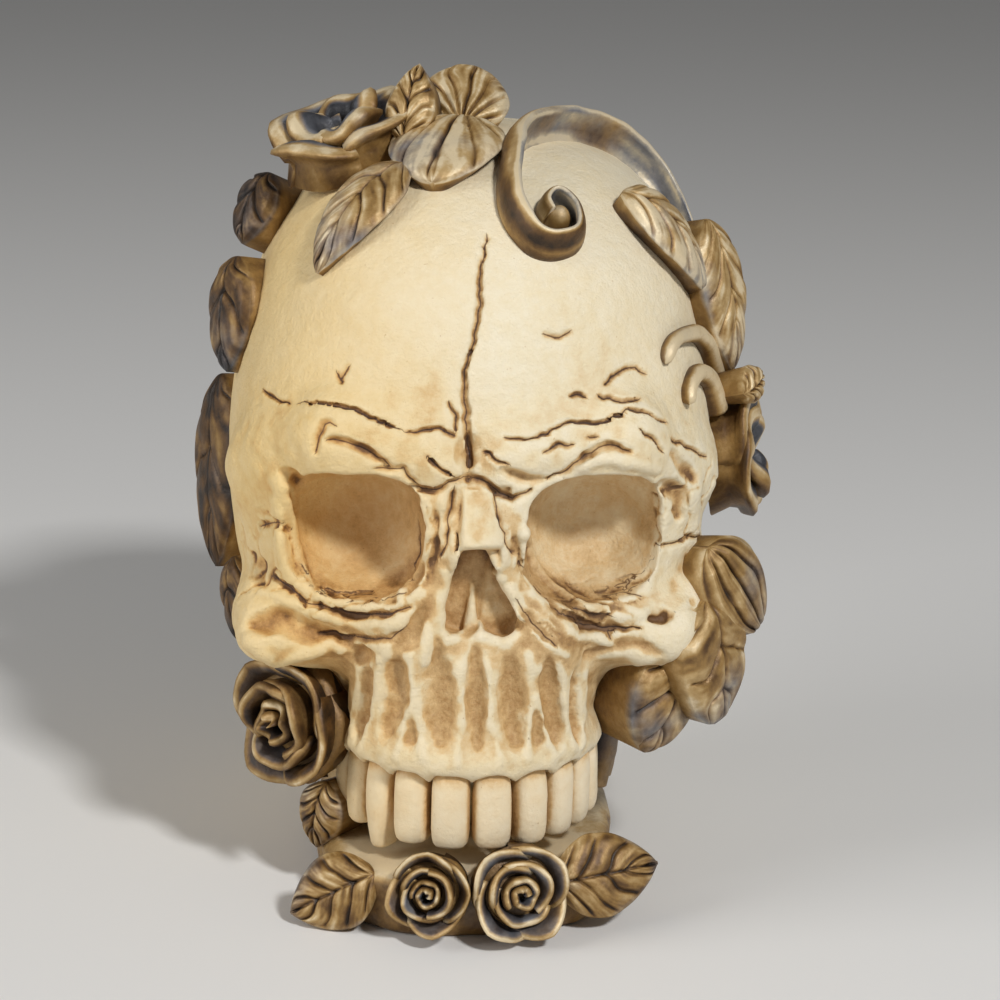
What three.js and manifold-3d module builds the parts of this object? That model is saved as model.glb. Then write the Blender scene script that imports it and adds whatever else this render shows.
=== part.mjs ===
// A cast skull ornament on a floral foot, dressed with glued-on roses, leaves, a scroll, tendrils and stems.
// Millimetres, +Z up. The face looks along -Y, and the origin lies on the table under the foot.
import * as THREE from "three";
import { mergeVertices } from "three/addons/utils/BufferGeometryUtils.js";
import Module from "manifold-3d";

const wasm = await Module();
wasm.setup();

// Driving sizes of the foot
const FOOT_WIDTH = 54;
const FOOT_LENGTH = 90;
const FOOT_HEIGHT = 11;
const FOOT_SETBACK = -8;
const FOOT_ROUNDING = 2;
const FOOT_SQUARENESS = 3;
const GLUE_GAP = 0.3;

// Driving sizes of the braincase and its hollow; each rise is measured from the top of the foot
const SKULL_WIDTH = 85;
const SKULL_LENGTH = 112;
const BRAINCASE_HEIGHT = 100;
const BRAINCASE_SETBACK = 10;
const CROWN_RISE = 123.5;
const HEAD_LEAN = 0.03;
const HEAD_MIDDLE_RISE = 55;
const HEAD_MIDDLE_SETBACK = -2;
const CASTING_WALL = 7;
const POUR_HOLE = 22;
const POUR_HOLE_SETBACK = 14;

// Driving sizes of the base under the braincase
const BASE_HEIGHT = 52;
const BASE_RISE = 22;
const BASE_INSET = 4;
const BASE_SHORTER = 7;
const BASE_SETBACK = 2;

// Driving sizes of the face
const FACE_WIDTH = 81;
const FACE_DEPTH = 72;
const FACE_HEIGHT = 62;
const FACE_SETBACK = -8;
const FACE_OVER_EYES = 3;
const BROW_RISE = 76;
const BROW_FRONT = 46;
const BROW_THICKNESS = 12;
const BROW_INNER_SPACING = 12;
const BROW_PEAK_SPACING = 48;
const BROW_OUTER_FRONT = 24;
const BROW_OUTER_DROP = 9;
const EYE_RISE = 57;
const EYE_SPACING = 41.5;
const SOCKET_WIDTH = 24;
const SOCKET_HEIGHT = 23;
const SOCKET_DEPTH = 22;
const CHEEK_RISE = 40;
const CHEEK_SPACING = 65;
const CHEEK_FRONT = 30;
const CHEEK_WIDTH = 19;
const CHEEK_DEPTH = 24;
const CHEEK_THICKNESS = 14;

// Driving sizes of the nose
const NOSE_RISE = 42;
const NOSE_ASIDE = 1;
const NOSE_WIDTH = 14;
const NOSE_LENGTH = 16;
const NOSE_DEPTH = 15;
const NOSE_FRONT = 53;
const NOSE_BONE = 9;
const NOSE_FLANK = 10;
const NOSE_FLANK_SPACING = 14;
const NOSE_FLANK_FRONT = 43;

// Driving sizes of the jaw and teeth
const JAW_WIDTH = 43;
const JAW_FRONT = 50;
const JAW_DEPTH = 52;
const JAW_HEIGHT = 40;
const JAW_OVER_GUM = 12;
const BITE_RISE = 4.5;
const TOOTH_DROP = 13.5;
const TOOTH_ROOT = 4;
const TOOTH_DEPTH = 6.4;
const TOOTH_GAP = 0.35;
const TOOTH_ROW_INSET = 0.5;
const ROOT_RIDGE = 4.4;
const ROOT_RIDGE_PROUD = 1;
const ROOT_RIDGE_OVER_GUM = 4;
const TOOTH_WIDTHS = [6.8, 6.4, 6, 5.8, 5.8];

// Driving sizes of the ornaments; a sink reaches below the skin, down to what carries the ornament
const LEAF_THICKNESS = 2.4;
const LEAF_SINK = 3;
const STANDING_SINK = 10;
const DEEP_SINK = 20;
const ROSE_SINK = 14;
const SCROLL_WIDTH = 9;
const SCROLL_HEIGHT = 5;
const SCROLL_EYE = 9;
const TENDRIL_THICKNESS = 4.4;
const TENDRIL_PROUD = 0.9;
const STEM_THICKNESS = 7;
const STEM_PROUD = 2.4;

// Routes over the head, in degrees of longitude from the face and of latitude from the middle
const SCROLL_ROUTE = [
  [92, 46], [100, 53], [110, 60], [104, 72], [47, 79], [16, 72], [10, 64], [13, 58], [20, 55],
];
const SCROLL_EYE_PLACE = [25, 60];
const TENDRIL_ROUTES = {
  temple_tendril_high: [[45, 36], [49, 39], [57, 40], [66, 39], [76, 34], [82, 27]],
  temple_tendril_low: [[50, 28], [52, 31], [58, 33], [66, 31], [72, 25]],
};
const STEM_ROUTES = {
  stem_outer: [[68, -39], [65, -47], [62, -55], [57, -62]],
  stem_inner: [[52, -40], [49, -46], [46, -52], [43, -58]],
};

// Heights over the table
const CROWN_HEIGHT = FOOT_HEIGHT + CROWN_RISE;
const BROW_HEIGHT = FOOT_HEIGHT + BROW_RISE;
const EYE_HEIGHT = FOOT_HEIGHT + EYE_RISE;
const CHEEK_HEIGHT = FOOT_HEIGHT + CHEEK_RISE;
const NOSE_BASE = FOOT_HEIGHT + NOSE_RISE;
const TOOTH_TIP = FOOT_HEIGHT + BITE_RISE;
const GUM_HEIGHT = TOOTH_TIP + TOOTH_DROP;

const BONE = { color: 0xe3d2ad, roughness: 0.75, metalness: 0 };
const TOOTH_IVORY = { color: 0xe6d5ae, roughness: 0.6, metalness: 0 };
const BRONZE = { color: 0x6b4f2a, roughness: 0.42, metalness: 0.55 };

// Solids and meshes

const MERGE_DISTANCE = 1e-3;

function solidOf(geometry) {
  const bare = new THREE.BufferGeometry();
  bare.setAttribute("position", geometry.getAttribute("position"));
  if (geometry.index) bare.setIndex(geometry.index);
  const merged = mergeVertices(bare, MERGE_DISTANCE);
  return new wasm.Manifold(
    new wasm.Mesh({
      numProp: 3,
      vertProperties: new Float32Array(merged.attributes.position.array),
      triVerts: new Uint32Array(merged.index.array),
    }),
  );
}

function geometryOf(solid) {
  const mesh = solid.getMesh();
  const positions = new Float32Array(mesh.numVert * 3);
  for (let i = 0; i < mesh.numVert; i += 1) {
    positions.set(mesh.vertProperties.subarray(i * mesh.numProp, i * mesh.numProp + 3), i * 3);
  }
  const geometry = new THREE.BufferGeometry();
  geometry.setAttribute("position", new THREE.BufferAttribute(positions, 3));
  geometry.setIndex(new THREE.BufferAttribute(new Uint32Array(mesh.triVerts), 1));
  geometry.computeVertexNormals();
  return geometry;
}

function indexedGeometry(points, triangles) {
  const geometry = new THREE.BufferGeometry();
  const numbers = points.flatMap((p) => [p.x, p.y, p.z]);
  geometry.setAttribute("position", new THREE.Float32BufferAttribute(numbers, 3));
  geometry.setIndex(triangles);
  return geometry;
}

const part = new THREE.Group();
part.name = "skull_decoration";

function addPiece(name, solid, finish) {
  const mesh = new THREE.Mesh(geometryOf(solid), new THREE.MeshStandardMaterial(finish));
  mesh.name = name;
  part.add(mesh);
}

// The dental arch, half an oval that the middles of the teeth follow

const TOOTH_PROUD = 0.2 * TOOTH_DEPTH;
const ARCH_HALF_WIDTH = JAW_WIDTH / 2 - TOOTH_ROW_INSET;
const ARCH_HALF_DEPTH = (JAW_DEPTH - TOOTH_DEPTH) / 2 + TOOTH_PROUD;

function archPoint(turn) {
  const middle = JAW_DEPTH / 2 - JAW_FRONT;
  return new THREE.Vector2(ARCH_HALF_WIDTH * Math.sin(turn), middle - ARCH_HALF_DEPTH * Math.cos(turn));
}

// The angle on the arch that lies a given distance along it from the middle.
function archTurn(distance) {
  const step = 0.002;
  let turn = 0;
  let walked = 0;
  while (walked < distance) {
    walked += archPoint(turn).distanceTo(archPoint(turn + step));
    turn += step;
  }
  return turn;
}

// The skull's skin as a field: negative inside, zero on the surface

function roundedLump(x, y, z, lump) {
  const n = lump.squareness;
  const reach =
    Math.abs((x - lump.at[0]) / lump.radii[0]) ** n +
    Math.abs((y - lump.at[1]) / lump.radii[1]) ** n +
    Math.abs((z - lump.at[2]) / lump.radii[2]) ** n;
  return (reach ** (1 / n) - 1) * Math.min(...lump.radii);
}

function ridgeField(x, y, z, ridge) {
  const [from, to] = [ridge.from, ridge.to];
  const along = [to[0] - from[0], to[1] - from[1], to[2] - from[2]];
  const square = along[0] ** 2 + along[1] ** 2 + along[2] ** 2;
  const dot = (x - from[0]) * along[0] + (y - from[1]) * along[1] + (z - from[2]) * along[2];
  const t = Math.min(1, Math.max(0, dot / square));
  const away = Math.hypot(x - from[0] - t * along[0], y - from[1] - t * along[1], z - from[2] - t * along[2]);
  return away - ridge.thickness / 2;
}

function blend(a, b, softness) {
  const h = Math.max(softness - Math.abs(a - b), 0) / softness;
  return Math.min(a, b) - (h * h * softness) / 4;
}

// Each lump melts into those before it over the width of its own blend.
const LUMPS = {
  braincase: {
    at: [0, BRAINCASE_SETBACK, CROWN_HEIGHT - BRAINCASE_HEIGHT / 2],
    radii: [SKULL_WIDTH / 2, SKULL_LENGTH / 2, BRAINCASE_HEIGHT / 2],
    squareness: 2.5,
    softness: 1,
  },
  face: {
    at: [0, FACE_SETBACK, EYE_HEIGHT + FACE_OVER_EYES],
    radii: [FACE_WIDTH / 2, FACE_DEPTH / 2, FACE_HEIGHT / 2],
    squareness: 3,
    softness: 10,
  },
  base: {
    at: [0, BASE_SETBACK, FOOT_HEIGHT + BASE_RISE],
    radii: [FOOT_WIDTH / 2 - BASE_INSET, FOOT_LENGTH / 2 - BASE_SHORTER, BASE_HEIGHT / 2],
    squareness: 3.2,
    softness: 9,
  },
  jaw: {
    at: [0, JAW_DEPTH / 2 - JAW_FRONT, GUM_HEIGHT + JAW_OVER_GUM],
    radii: [JAW_WIDTH / 2, JAW_DEPTH / 2, JAW_HEIGHT / 2],
    squareness: 3,
    softness: 5,
  },
  cheek: {
    at: [CHEEK_SPACING / 2, -CHEEK_FRONT, CHEEK_HEIGHT],
    radii: [CHEEK_WIDTH / 2, CHEEK_DEPTH / 2, CHEEK_THICKNESS / 2],
    squareness: 2.3,
    softness: 6,
  },
};
const BROW_MIDDLE = BROW_THICKNESS / 2 - BROW_FRONT;
const BROW_PEAK = [BROW_PEAK_SPACING / 2, BROW_MIDDLE, BROW_HEIGHT];
const RIDGES = [
  {
    from: [BROW_INNER_SPACING / 2, BROW_MIDDLE, BROW_HEIGHT],
    to: BROW_PEAK,
    thickness: BROW_THICKNESS,
    softness: 5,
  },
  {
    from: BROW_PEAK,
    to: [(SKULL_WIDTH - BROW_THICKNESS) / 2, -BROW_OUTER_FRONT, BROW_HEIGHT - BROW_OUTER_DROP],
    thickness: BROW_THICKNESS,
    softness: 6,
  },
  {
    from: [NOSE_FLANK_SPACING / 2, BROW_MIDDLE, BROW_HEIGHT - NOSE_FLANK],
    to: [(NOSE_WIDTH + NOSE_FLANK) / 2, -NOSE_FLANK_FRONT, NOSE_BASE],
    thickness: NOSE_FLANK,
    softness: 5,
  },
  {
    from: [0, BROW_MIDDLE, BROW_HEIGHT - NOSE_BONE],
    to: [0, NOSE_BONE / 2 - NOSE_FRONT, NOSE_BASE + NOSE_LENGTH],
    thickness: NOSE_BONE,
    softness: 4,
  },
];

// Bone swells over the gaps between the roots of the teeth, from over the gum up to the nose.
function rootRidges() {
  const ridges = [];
  const { at, radii, squareness } = LUMPS.jaw;
  const blunt = (share) => share ** (2 / squareness);
  let walked = 0;
  for (const width of TOOTH_WIDTHS) {
    walked += width + TOOTH_GAP;
    const turn = archTurn(walked);
    const inward = ROOT_RIDGE / 2 - ROOT_RIDGE_PROUD;
    const x = (radii[0] - inward) * blunt(Math.sin(turn));
    const y = at[1] - (radii[1] - inward) * blunt(Math.cos(turn));
    ridges.push({
      from: [x, y, GUM_HEIGHT + ROOT_RIDGE_OVER_GUM],
      to: [x, y, NOSE_BASE],
      thickness: ROOT_RIDGE,
      softness: 1,
    });
  }
  return ridges;
}

RIDGES.push(...rootRidges());

function skullField(x, y, z) {
  const side = Math.abs(x - HEAD_LEAN * Math.max(0, z - EYE_HEIGHT));
  let skin = Infinity;
  for (const lump of Object.values(LUMPS)) {
    skin = blend(skin, roundedLump(side, y, z, lump), lump.softness);
  }
  for (const ridge of RIDGES) {
    skin = blend(skin, ridgeField(side, y, z, ridge), ridge.softness);
  }
  return skin;
}

const HEAD_CENTRE = new THREE.Vector3(0, HEAD_MIDDLE_SETBACK, FOOT_HEIGHT + HEAD_MIDDLE_RISE);
const SEARCH_REACH = SKULL_LENGTH + CROWN_HEIGHT;
const SEARCH_STEP = 2;
const HALVINGS = 20;

// The outermost skin point along a ray from the middle of the head.
function skinPoint(direction) {
  const at = new THREE.Vector3();
  const depth = (far) => {
    at.copy(HEAD_CENTRE).addScaledVector(direction, far);
    return skullField(at.x, at.y, at.z);
  };
  let inner = SEARCH_REACH;
  while (depth(inner) > 0) inner -= SEARCH_STEP;
  let outer = inner + SEARCH_STEP;
  for (let i = 0; i < HALVINGS; i += 1) {
    const middle = (inner + outer) / 2;
    if (depth(middle) > 0) outer = middle;
    else inner = middle;
  }
  return at.copy(HEAD_CENTRE).addScaledVector(direction, inner).clone();
}

const NORMAL_REACH = 0.4;

function skinNormal(point) {
  const slope = (axis) => {
    const ahead = point.toArray();
    const behind = point.toArray();
    ahead[axis] += NORMAL_REACH;
    behind[axis] -= NORMAL_REACH;
    return skullField(...ahead) - skullField(...behind);
  };
  return new THREE.Vector3(slope(0), slope(1), slope(2)).normalize();
}

const SKIN_RINGS = 40;
const SKIN_AROUND = 80;
const SKIN_CROWDING = 1.3;

// Rings of skin points round the nose, closer together on the face than on the back of the head.
function skullSkin(grow) {
  const grownPoint = (polar, turn) => {
    const aside = Math.sin(polar);
    const direction = new THREE.Vector3(aside * Math.sin(turn), -Math.cos(polar), aside * Math.cos(turn));
    const point = skinPoint(direction);
    return point.addScaledVector(skinNormal(point), grow);
  };
  const points = [grownPoint(0, 0)];
  for (let i = 1; i < SKIN_RINGS; i += 1) {
    const polar = Math.PI * (i / SKIN_RINGS) ** SKIN_CROWDING;
    for (let j = 0; j < SKIN_AROUND; j += 1) {
      points.push(grownPoint(polar, (2 * Math.PI * j) / SKIN_AROUND));
    }
  }
  points.push(grownPoint(Math.PI, 0));
  const last = points.length - 1;
  const at = (i, j) => 1 + (i - 1) * SKIN_AROUND + (j % SKIN_AROUND);
  const triangles = [];
  for (let j = 0; j < SKIN_AROUND; j += 1) {
    triangles.push(0, at(1, j + 1), at(1, j));
    for (let i = 1; i < SKIN_RINGS - 1; i += 1) {
      triangles.push(at(i, j), at(i + 1, j + 1), at(i + 1, j));
      triangles.push(at(i, j), at(i, j + 1), at(i + 1, j + 1));
    }
    triangles.push(last, at(SKIN_RINGS - 1, j), at(SKIN_RINGS - 1, j + 1));
  }
  return solidOf(indexedGeometry(points, triangles));
}

// Cutters for the skull: sockets, nose opening, hollow, pour hole and flat underside

function ellipsoid(centre, radii, around, rings) {
  const ball = new THREE.SphereGeometry(1, around, rings);
  ball.scale(...radii);
  ball.translate(...centre);
  return solidOf(ball);
}

function uprightHole(diameter, setback, from, to) {
  const hole = new THREE.CylinderGeometry(diameter / 2, diameter / 2, to - from, 20);
  hole.rotateX(Math.PI / 2);
  hole.translate(0, setback, (from + to) / 2);
  return solidOf(hole);
}

// Everything below a height.
function blockUnder(height) {
  const size = 2 * (SKULL_LENGTH + SKULL_WIDTH);
  const block = new THREE.BoxGeometry(size, size, size);
  block.translate(0, 0, height - size / 2);
  return solidOf(block);
}

function socketCutter(side) {
  const centre = [(side * EYE_SPACING) / 2, BROW_MIDDLE, EYE_HEIGHT];
  return ellipsoid(centre, [SOCKET_WIDTH / 2, SOCKET_DEPTH, SOCKET_HEIGHT / 2], 20, 12);
}

// An upside-down heart: a rounded peak over two lobes.
function noseCutter() {
  const half = NOSE_WIDTH / 2;
  const lobe = NOSE_LENGTH * 0.28;
  const heart = new THREE.Shape();
  heart.moveTo(0, NOSE_LENGTH);
  heart.bezierCurveTo(half * 0.5, NOSE_LENGTH * 0.95, half, NOSE_LENGTH * 0.55, half, lobe);
  heart.bezierCurveTo(half, 0, half * 0.2, -lobe * 0.4, 0, lobe);
  heart.bezierCurveTo(-half * 0.2, -lobe * 0.4, -half, 0, -half, lobe);
  heart.bezierCurveTo(-half, NOSE_LENGTH * 0.55, -half * 0.5, NOSE_LENGTH * 0.95, 0, NOSE_LENGTH);
  const cut = { depth: 2 * NOSE_DEPTH, bevelEnabled: false, curveSegments: 5 };
  const prism = new THREE.ExtrudeGeometry(heart, cut);
  prism.rotateX(Math.PI / 2);
  prism.translate(NOSE_ASIDE, 1.25 * NOSE_DEPTH - NOSE_FRONT, NOSE_BASE);
  return solidOf(prism);
}

// The hollow keeps a wall all round, twice as thick behind the face.
function hollowCutter() {
  const middle = CROWN_HEIGHT - BRAINCASE_HEIGHT / 2;
  const radii = [
    SKULL_WIDTH / 2 - CASTING_WALL,
    SKULL_LENGTH / 2 - 2 * CASTING_WALL,
    BRAINCASE_HEIGHT / 2 - CASTING_WALL,
  ];
  const hollow = ellipsoid([0, BRAINCASE_SETBACK + CASTING_WALL, middle], radii, 22, 14);
  return hollow.add(uprightHole(POUR_HOLE, POUR_HOLE_SETBACK, -FOOT_HEIGHT, middle));
}

// Teeth along the dental arch, each a round-ended bar with a root in the jaw

const TOOTH_AROUND = 10;

// A tooth's profile, as shares of its half width at shares of the drop below the gum and of the root above.
const CROWN_PROFILE = [[0.62, 1], [0.9, 0.91], [1, 0.5], [0.94, 0.07]];
const ROOT_PROFILE = [[0.7, 0.75], [0.45, 1]];

function toothSolid(width, side, turn, grow) {
  const radius = width / 2 + grow;
  const tip = TOOTH_TIP - grow;
  const top = GUM_HEIGHT + TOOTH_ROOT + grow;
  const profile = [
    [0, tip],
    ...CROWN_PROFILE.map(([wide, drop]) => [radius * wide, GUM_HEIGHT - (GUM_HEIGHT - tip) * drop]),
    ...ROOT_PROFILE.map(([wide, rise]) => [radius * wide, GUM_HEIGHT + (top - GUM_HEIGHT) * rise]),
    [0, top],
  ];
  const bar = new THREE.LatheGeometry(profile.map((p) => new THREE.Vector2(...p)), TOOTH_AROUND);
  bar.rotateX(Math.PI / 2);
  bar.scale(1, (TOOTH_DEPTH + 2 * grow) / (width + 2 * grow), 1);
  bar.rotateZ(side * Math.atan2(Math.sin(turn) / ARCH_HALF_WIDTH, Math.cos(turn) / ARCH_HALF_DEPTH));
  const at = archPoint(turn);
  bar.translate(side * at.x, at.y, 0);
  return solidOf(bar);
}

function placedTeeth() {
  const teeth = [];
  let walked = TOOTH_GAP / 2;
  TOOTH_WIDTHS.forEach((width, number) => {
    const turn = archTurn(walked + width / 2);
    walked += width + TOOTH_GAP;
    for (const [word, side] of [["left", -1], ["right", 1]]) {
      teeth.push({
        name: `tooth_${word}_${number + 1}`,
        solid: toothSolid(width, side, turn, 0),
        grown: toothSolid(width, side, turn, GLUE_GAP),
      });
    }
  });
  return teeth;
}

// The jaw is cleared between neighbouring teeth too, so that no post of it is left standing in their gap.
function toothGapCutters() {
  const cutters = [];
  let walked = 0;
  for (const width of TOOTH_WIDTHS) {
    const turn = archTurn(walked);
    walked += width + TOOTH_GAP;
    for (const side of [-1, 1]) {
      cutters.push(toothSolid(TOOTH_DEPTH / 2, side, turn, GLUE_GAP));
    }
  }
  return cutters;
}

// The foot: a blunt oval bed with the pour hole through it

const FOOT_AROUND = 40;

function footBed(grow) {
  const halfWidth = FOOT_WIDTH / 2 - FOOT_ROUNDING + grow;
  const halfLength = FOOT_LENGTH / 2 - FOOT_ROUNDING + grow;
  const blunt = (share) => Math.sign(share) * Math.abs(share) ** (2 / FOOT_SQUARENESS);
  const rim = [];
  for (let i = 0; i < FOOT_AROUND; i += 1) {
    const turn = (2 * Math.PI * i) / FOOT_AROUND;
    rim.push(new THREE.Vector2(halfWidth * blunt(Math.cos(turn)), halfLength * blunt(Math.sin(turn))));
  }
  const bed = new THREE.ExtrudeGeometry(new THREE.Shape(rim), {
    depth: FOOT_HEIGHT - 2 * FOOT_ROUNDING + grow,
    bevelThickness: FOOT_ROUNDING,
    bevelSize: FOOT_ROUNDING,
    bevelSegments: 2,
  });
  bed.translate(0, FOOT_SETBACK, FOOT_ROUNDING);
  return solidOf(bed);
}

function footSolid() {
  return footBed(0).subtract(uprightHole(POUR_HOLE, POUR_HOLE_SETBACK, -FOOT_HEIGHT, 2 * FOOT_HEIGHT));
}

// Seats of the ornaments: a point on what carries them, with outward, tipward and sideways directions

function headDirection(longitude, latitude) {
  const lon = THREE.MathUtils.degToRad(longitude);
  const lat = THREE.MathUtils.degToRad(latitude);
  return new THREE.Vector3(Math.cos(lat) * Math.sin(lon), -Math.cos(lat) * Math.cos(lon), Math.sin(lat));
}

// The turn is clockwise from uphill, seen from outside.
function seatAt(at, out, turn) {
  const uphill = new THREE.Vector3(0, 0, 1).addScaledVector(out, -out.z).normalize();
  const angle = THREE.MathUtils.degToRad(turn);
  const right = uphill.clone().cross(out);
  const along = uphill.multiplyScalar(Math.cos(angle)).addScaledVector(right, Math.sin(angle));
  return { at, out, along, across: along.clone().cross(out) };
}

// A relief that follows the skin of the skull.
function skinPlace(spot) {
  const at = skinPoint(headDirection(spot.lon, spot.lat));
  const seat = seatAt(at, skinNormal(at), spot.turn);
  return (across, along, height) => {
    const flat = at.clone().addScaledVector(seat.across, across).addScaledVector(seat.along, along);
    const point = skinPoint(flat.sub(HEAD_CENTRE).normalize());
    return point.addScaledVector(skinNormal(point), height);
  };
}

// A relief on a plane of its own that stands off the skin and droops towards its ends.
function planePlace(seat, droop) {
  return (across, along, height) =>
    seat.at
      .clone()
      .addScaledVector(seat.across, across)
      .addScaledVector(seat.along, along)
      .addScaledVector(seat.out, height - droop * along * along);
}

function offsetPlace(spot) {
  const out = headDirection(...spot.facing);
  const at = skinPoint(headDirection(spot.lon, spot.lat)).addScaledVector(out, spot.standoff);
  return planePlace(seatAt(at, out, spot.turn), spot.droop);
}

// A relief on the front rim of the foot, some share of its half width aside and a height over the table.
function rimPlace(spot) {
  const x = (FOOT_WIDTH / 2) * spot.aside;
  const front = (1 - Math.abs(spot.aside) ** FOOT_SQUARENESS) ** (1 / FOOT_SQUARENESS);
  const at = new THREE.Vector3(x, FOOT_SETBACK - (FOOT_LENGTH / 2) * front, spot.height);
  return planePlace(seatAt(at, headDirection(...spot.facing), spot.turn), spot.droop);
}

// Lofts: rings of points joined into a skin, with the two end rings capped

function loft(loops) {
  const count = loops[0].length;
  const last = (loops.length - 1) * count;
  const triangles = [];
  for (let start = 0; start < last; start += count) {
    for (let j = 0; j < count; j += 1) {
      const near = start + j;
      const next = start + ((j + 1) % count);
      triangles.push(near, next, next + count, near, next + count, near + count);
    }
  }
  for (let j = 1; j + 1 < count; j += 1) {
    triangles.push(0, j + 1, j, last, last + j, last + j + 1);
  }
  return solidOf(indexedGeometry(loops.flat(), triangles));
}

// Leaves: a pointed oval with a sunk midrib between two swollen halves

const LEAF_ROWS = 8;
const LEAF_SECTION = [[-1, 0.45], [-0.55, 1], [0, 0.62], [0.55, 1], [1, 0.45]];
const LEAF_END = 0.08;
const LEAF_FULL_NEAR_STALK = 0.8;
const LEAF_BLUNTNESS = 0.75;
const LEAF_TAPER = 0.6;

function leafSolid(place, leaf, grow) {
  const loops = [];
  for (let row = 0; row <= LEAF_ROWS; row += 1) {
    const share = row / LEAF_ROWS;
    const oval = Math.sin(Math.PI * share ** LEAF_FULL_NEAR_STALK) ** LEAF_BLUNTNESS;
    const swell = Math.max(LEAF_END, oval);
    const half = (leaf.width / 2) * swell + grow;
    const along = leaf.ahead + (share - 0.5) * (leaf.length + 2 * grow);
    const lift = leaf.lift[0] + (leaf.lift[1] - leaf.lift[0]) * share;
    const relief = (thick) => lift + LEAF_THICKNESS * (LEAF_END + thick * Math.sqrt(swell)) + grow;
    const top = LEAF_SECTION.map(([side, thick]) => place(side * half, along, relief(thick)));
    const foot = LEAF_TAPER * half;
    const bottom = LEAF_SECTION.map(([side]) => place(-side * foot, along, -leaf.sink - grow));
    loops.push([...top, ...bottom]);
  }
  return loft(loops);
}

// Roses: a dome of petals wound in a spiral, with a scalloped rim

const ROSE_AROUND = 20;
const ROSE_RINGS = [1, 0.87, 0.74, 0.61, 0.48, 0.35, 0.22, 0.1];
const ROSE_PETALS = 5;
const ROSE_SCALLOP = 0.07;
const ROSE_TURNS = 2.6;
const ROSE_TOP = 0.92;
const ROSE_FALL = 0.5;
const PETAL_RELIEF = 0.13;

function roseSolid(place, rose, grow) {
  const ring = (share, heightAt) => {
    const loop = [];
    for (let j = 0; j < ROSE_AROUND; j += 1) {
      const turn = (2 * Math.PI * j) / ROSE_AROUND;
      const scallop = 1 + ROSE_SCALLOP * share * Math.cos(ROSE_PETALS * turn);
      const radius = (rose.radius * scallop + grow) * share;
      loop.push(place(radius * Math.cos(turn), radius * Math.sin(turn), heightAt(share, turn)));
    }
    return loop;
  };
  const petals = (share, turn) => {
    const spiral = Math.cos(2 * Math.PI * share * ROSE_TURNS - turn);
    return rose.height * (ROSE_TOP - ROSE_FALL * share * share + PETAL_RELIEF * spiral) + grow;
  };
  return loft([ring(1, () => -rose.sink - grow), ...ROSE_RINGS.map((share) => ring(share, petals))]);
}

// The scroll and the tubes, which run over the skin along a route

function routeSeats(route, steps, grow) {
  const curve = new THREE.CatmullRomCurve3(route.map(([lon, lat]) => skinPoint(headDirection(lon, lat))));
  const seats = [];
  for (let i = 0; i <= steps; i += 1) {
    const at = skinPoint(curve.getPointAt(i / steps).sub(HEAD_CENTRE).normalize());
    const out = skinNormal(at);
    const along = curve.getTangentAt(i / steps);
    along.addScaledVector(out, -along.dot(out)).normalize();
    seats.push({ at, out, along, across: along.clone().cross(out), share: i / steps });
  }
  seats[0].at.addScaledVector(seats[0].along, -grow);
  seats[steps].at.addScaledVector(seats[steps].along, grow);
  return seats;
}

const SCROLL_STEPS = 22;
const SCROLL_TAPER = 0.45;
const SCROLL_TAPER_SHARE = 1 / 3;
const SCROLL_SECTION = [[-1, 0.8], [-0.75, 1], [-0.45, 0.75], [0.45, 0.42], [1, 0.35]];

function scrollSolid(grow) {
  const loops = routeSeats(SCROLL_ROUTE, SCROLL_STEPS, grow).map((seat) => {
    const full = Math.min(1, seat.share / SCROLL_TAPER_SHARE);
    const taper = SCROLL_TAPER + (1 - SCROLL_TAPER) * full;
    const half = (SCROLL_WIDTH / 2) * taper + grow;
    const height = SCROLL_HEIGHT * taper;
    const place = planePlace(seat, 0);
    const top = SCROLL_SECTION.map(([side, rise]) => place(side * half, 0, height * rise + grow));
    const bottom = SCROLL_SECTION.map(([side]) => place(-side * half, 0, -LEAF_SINK));
    return [...top, ...bottom];
  });
  const eye = skinPoint(headDirection(...SCROLL_EYE_PLACE));
  const bead = ellipsoid(eye.toArray(), Array(3).fill(SCROLL_EYE / 2 + grow), 14, 10);
  return loft(loops).add(bead);
}

const TUBE_AROUND = 7;
const TUBE_STEPS = 9;
const TUBE_TAPER = 0.25;

function tubeSolid(route, thickness, proud, grow) {
  const loops = routeSeats(route, TUBE_STEPS, grow).map((seat) => {
    const radius = (thickness / 2) * (1 - TUBE_TAPER * (1 - seat.share)) + grow;
    const place = planePlace(seat, 0);
    const loop = [];
    for (let j = 0; j < TUBE_AROUND; j += 1) {
      const turn = (2 * Math.PI * j) / TUBE_AROUND;
      loop.push(place(radius * Math.sin(turn), 0, radius * Math.cos(turn) + proud));
    }
    return loop;
  });
  return loft(loops);
}

// The roses, on the rim of the foot or standing off the skull

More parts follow.
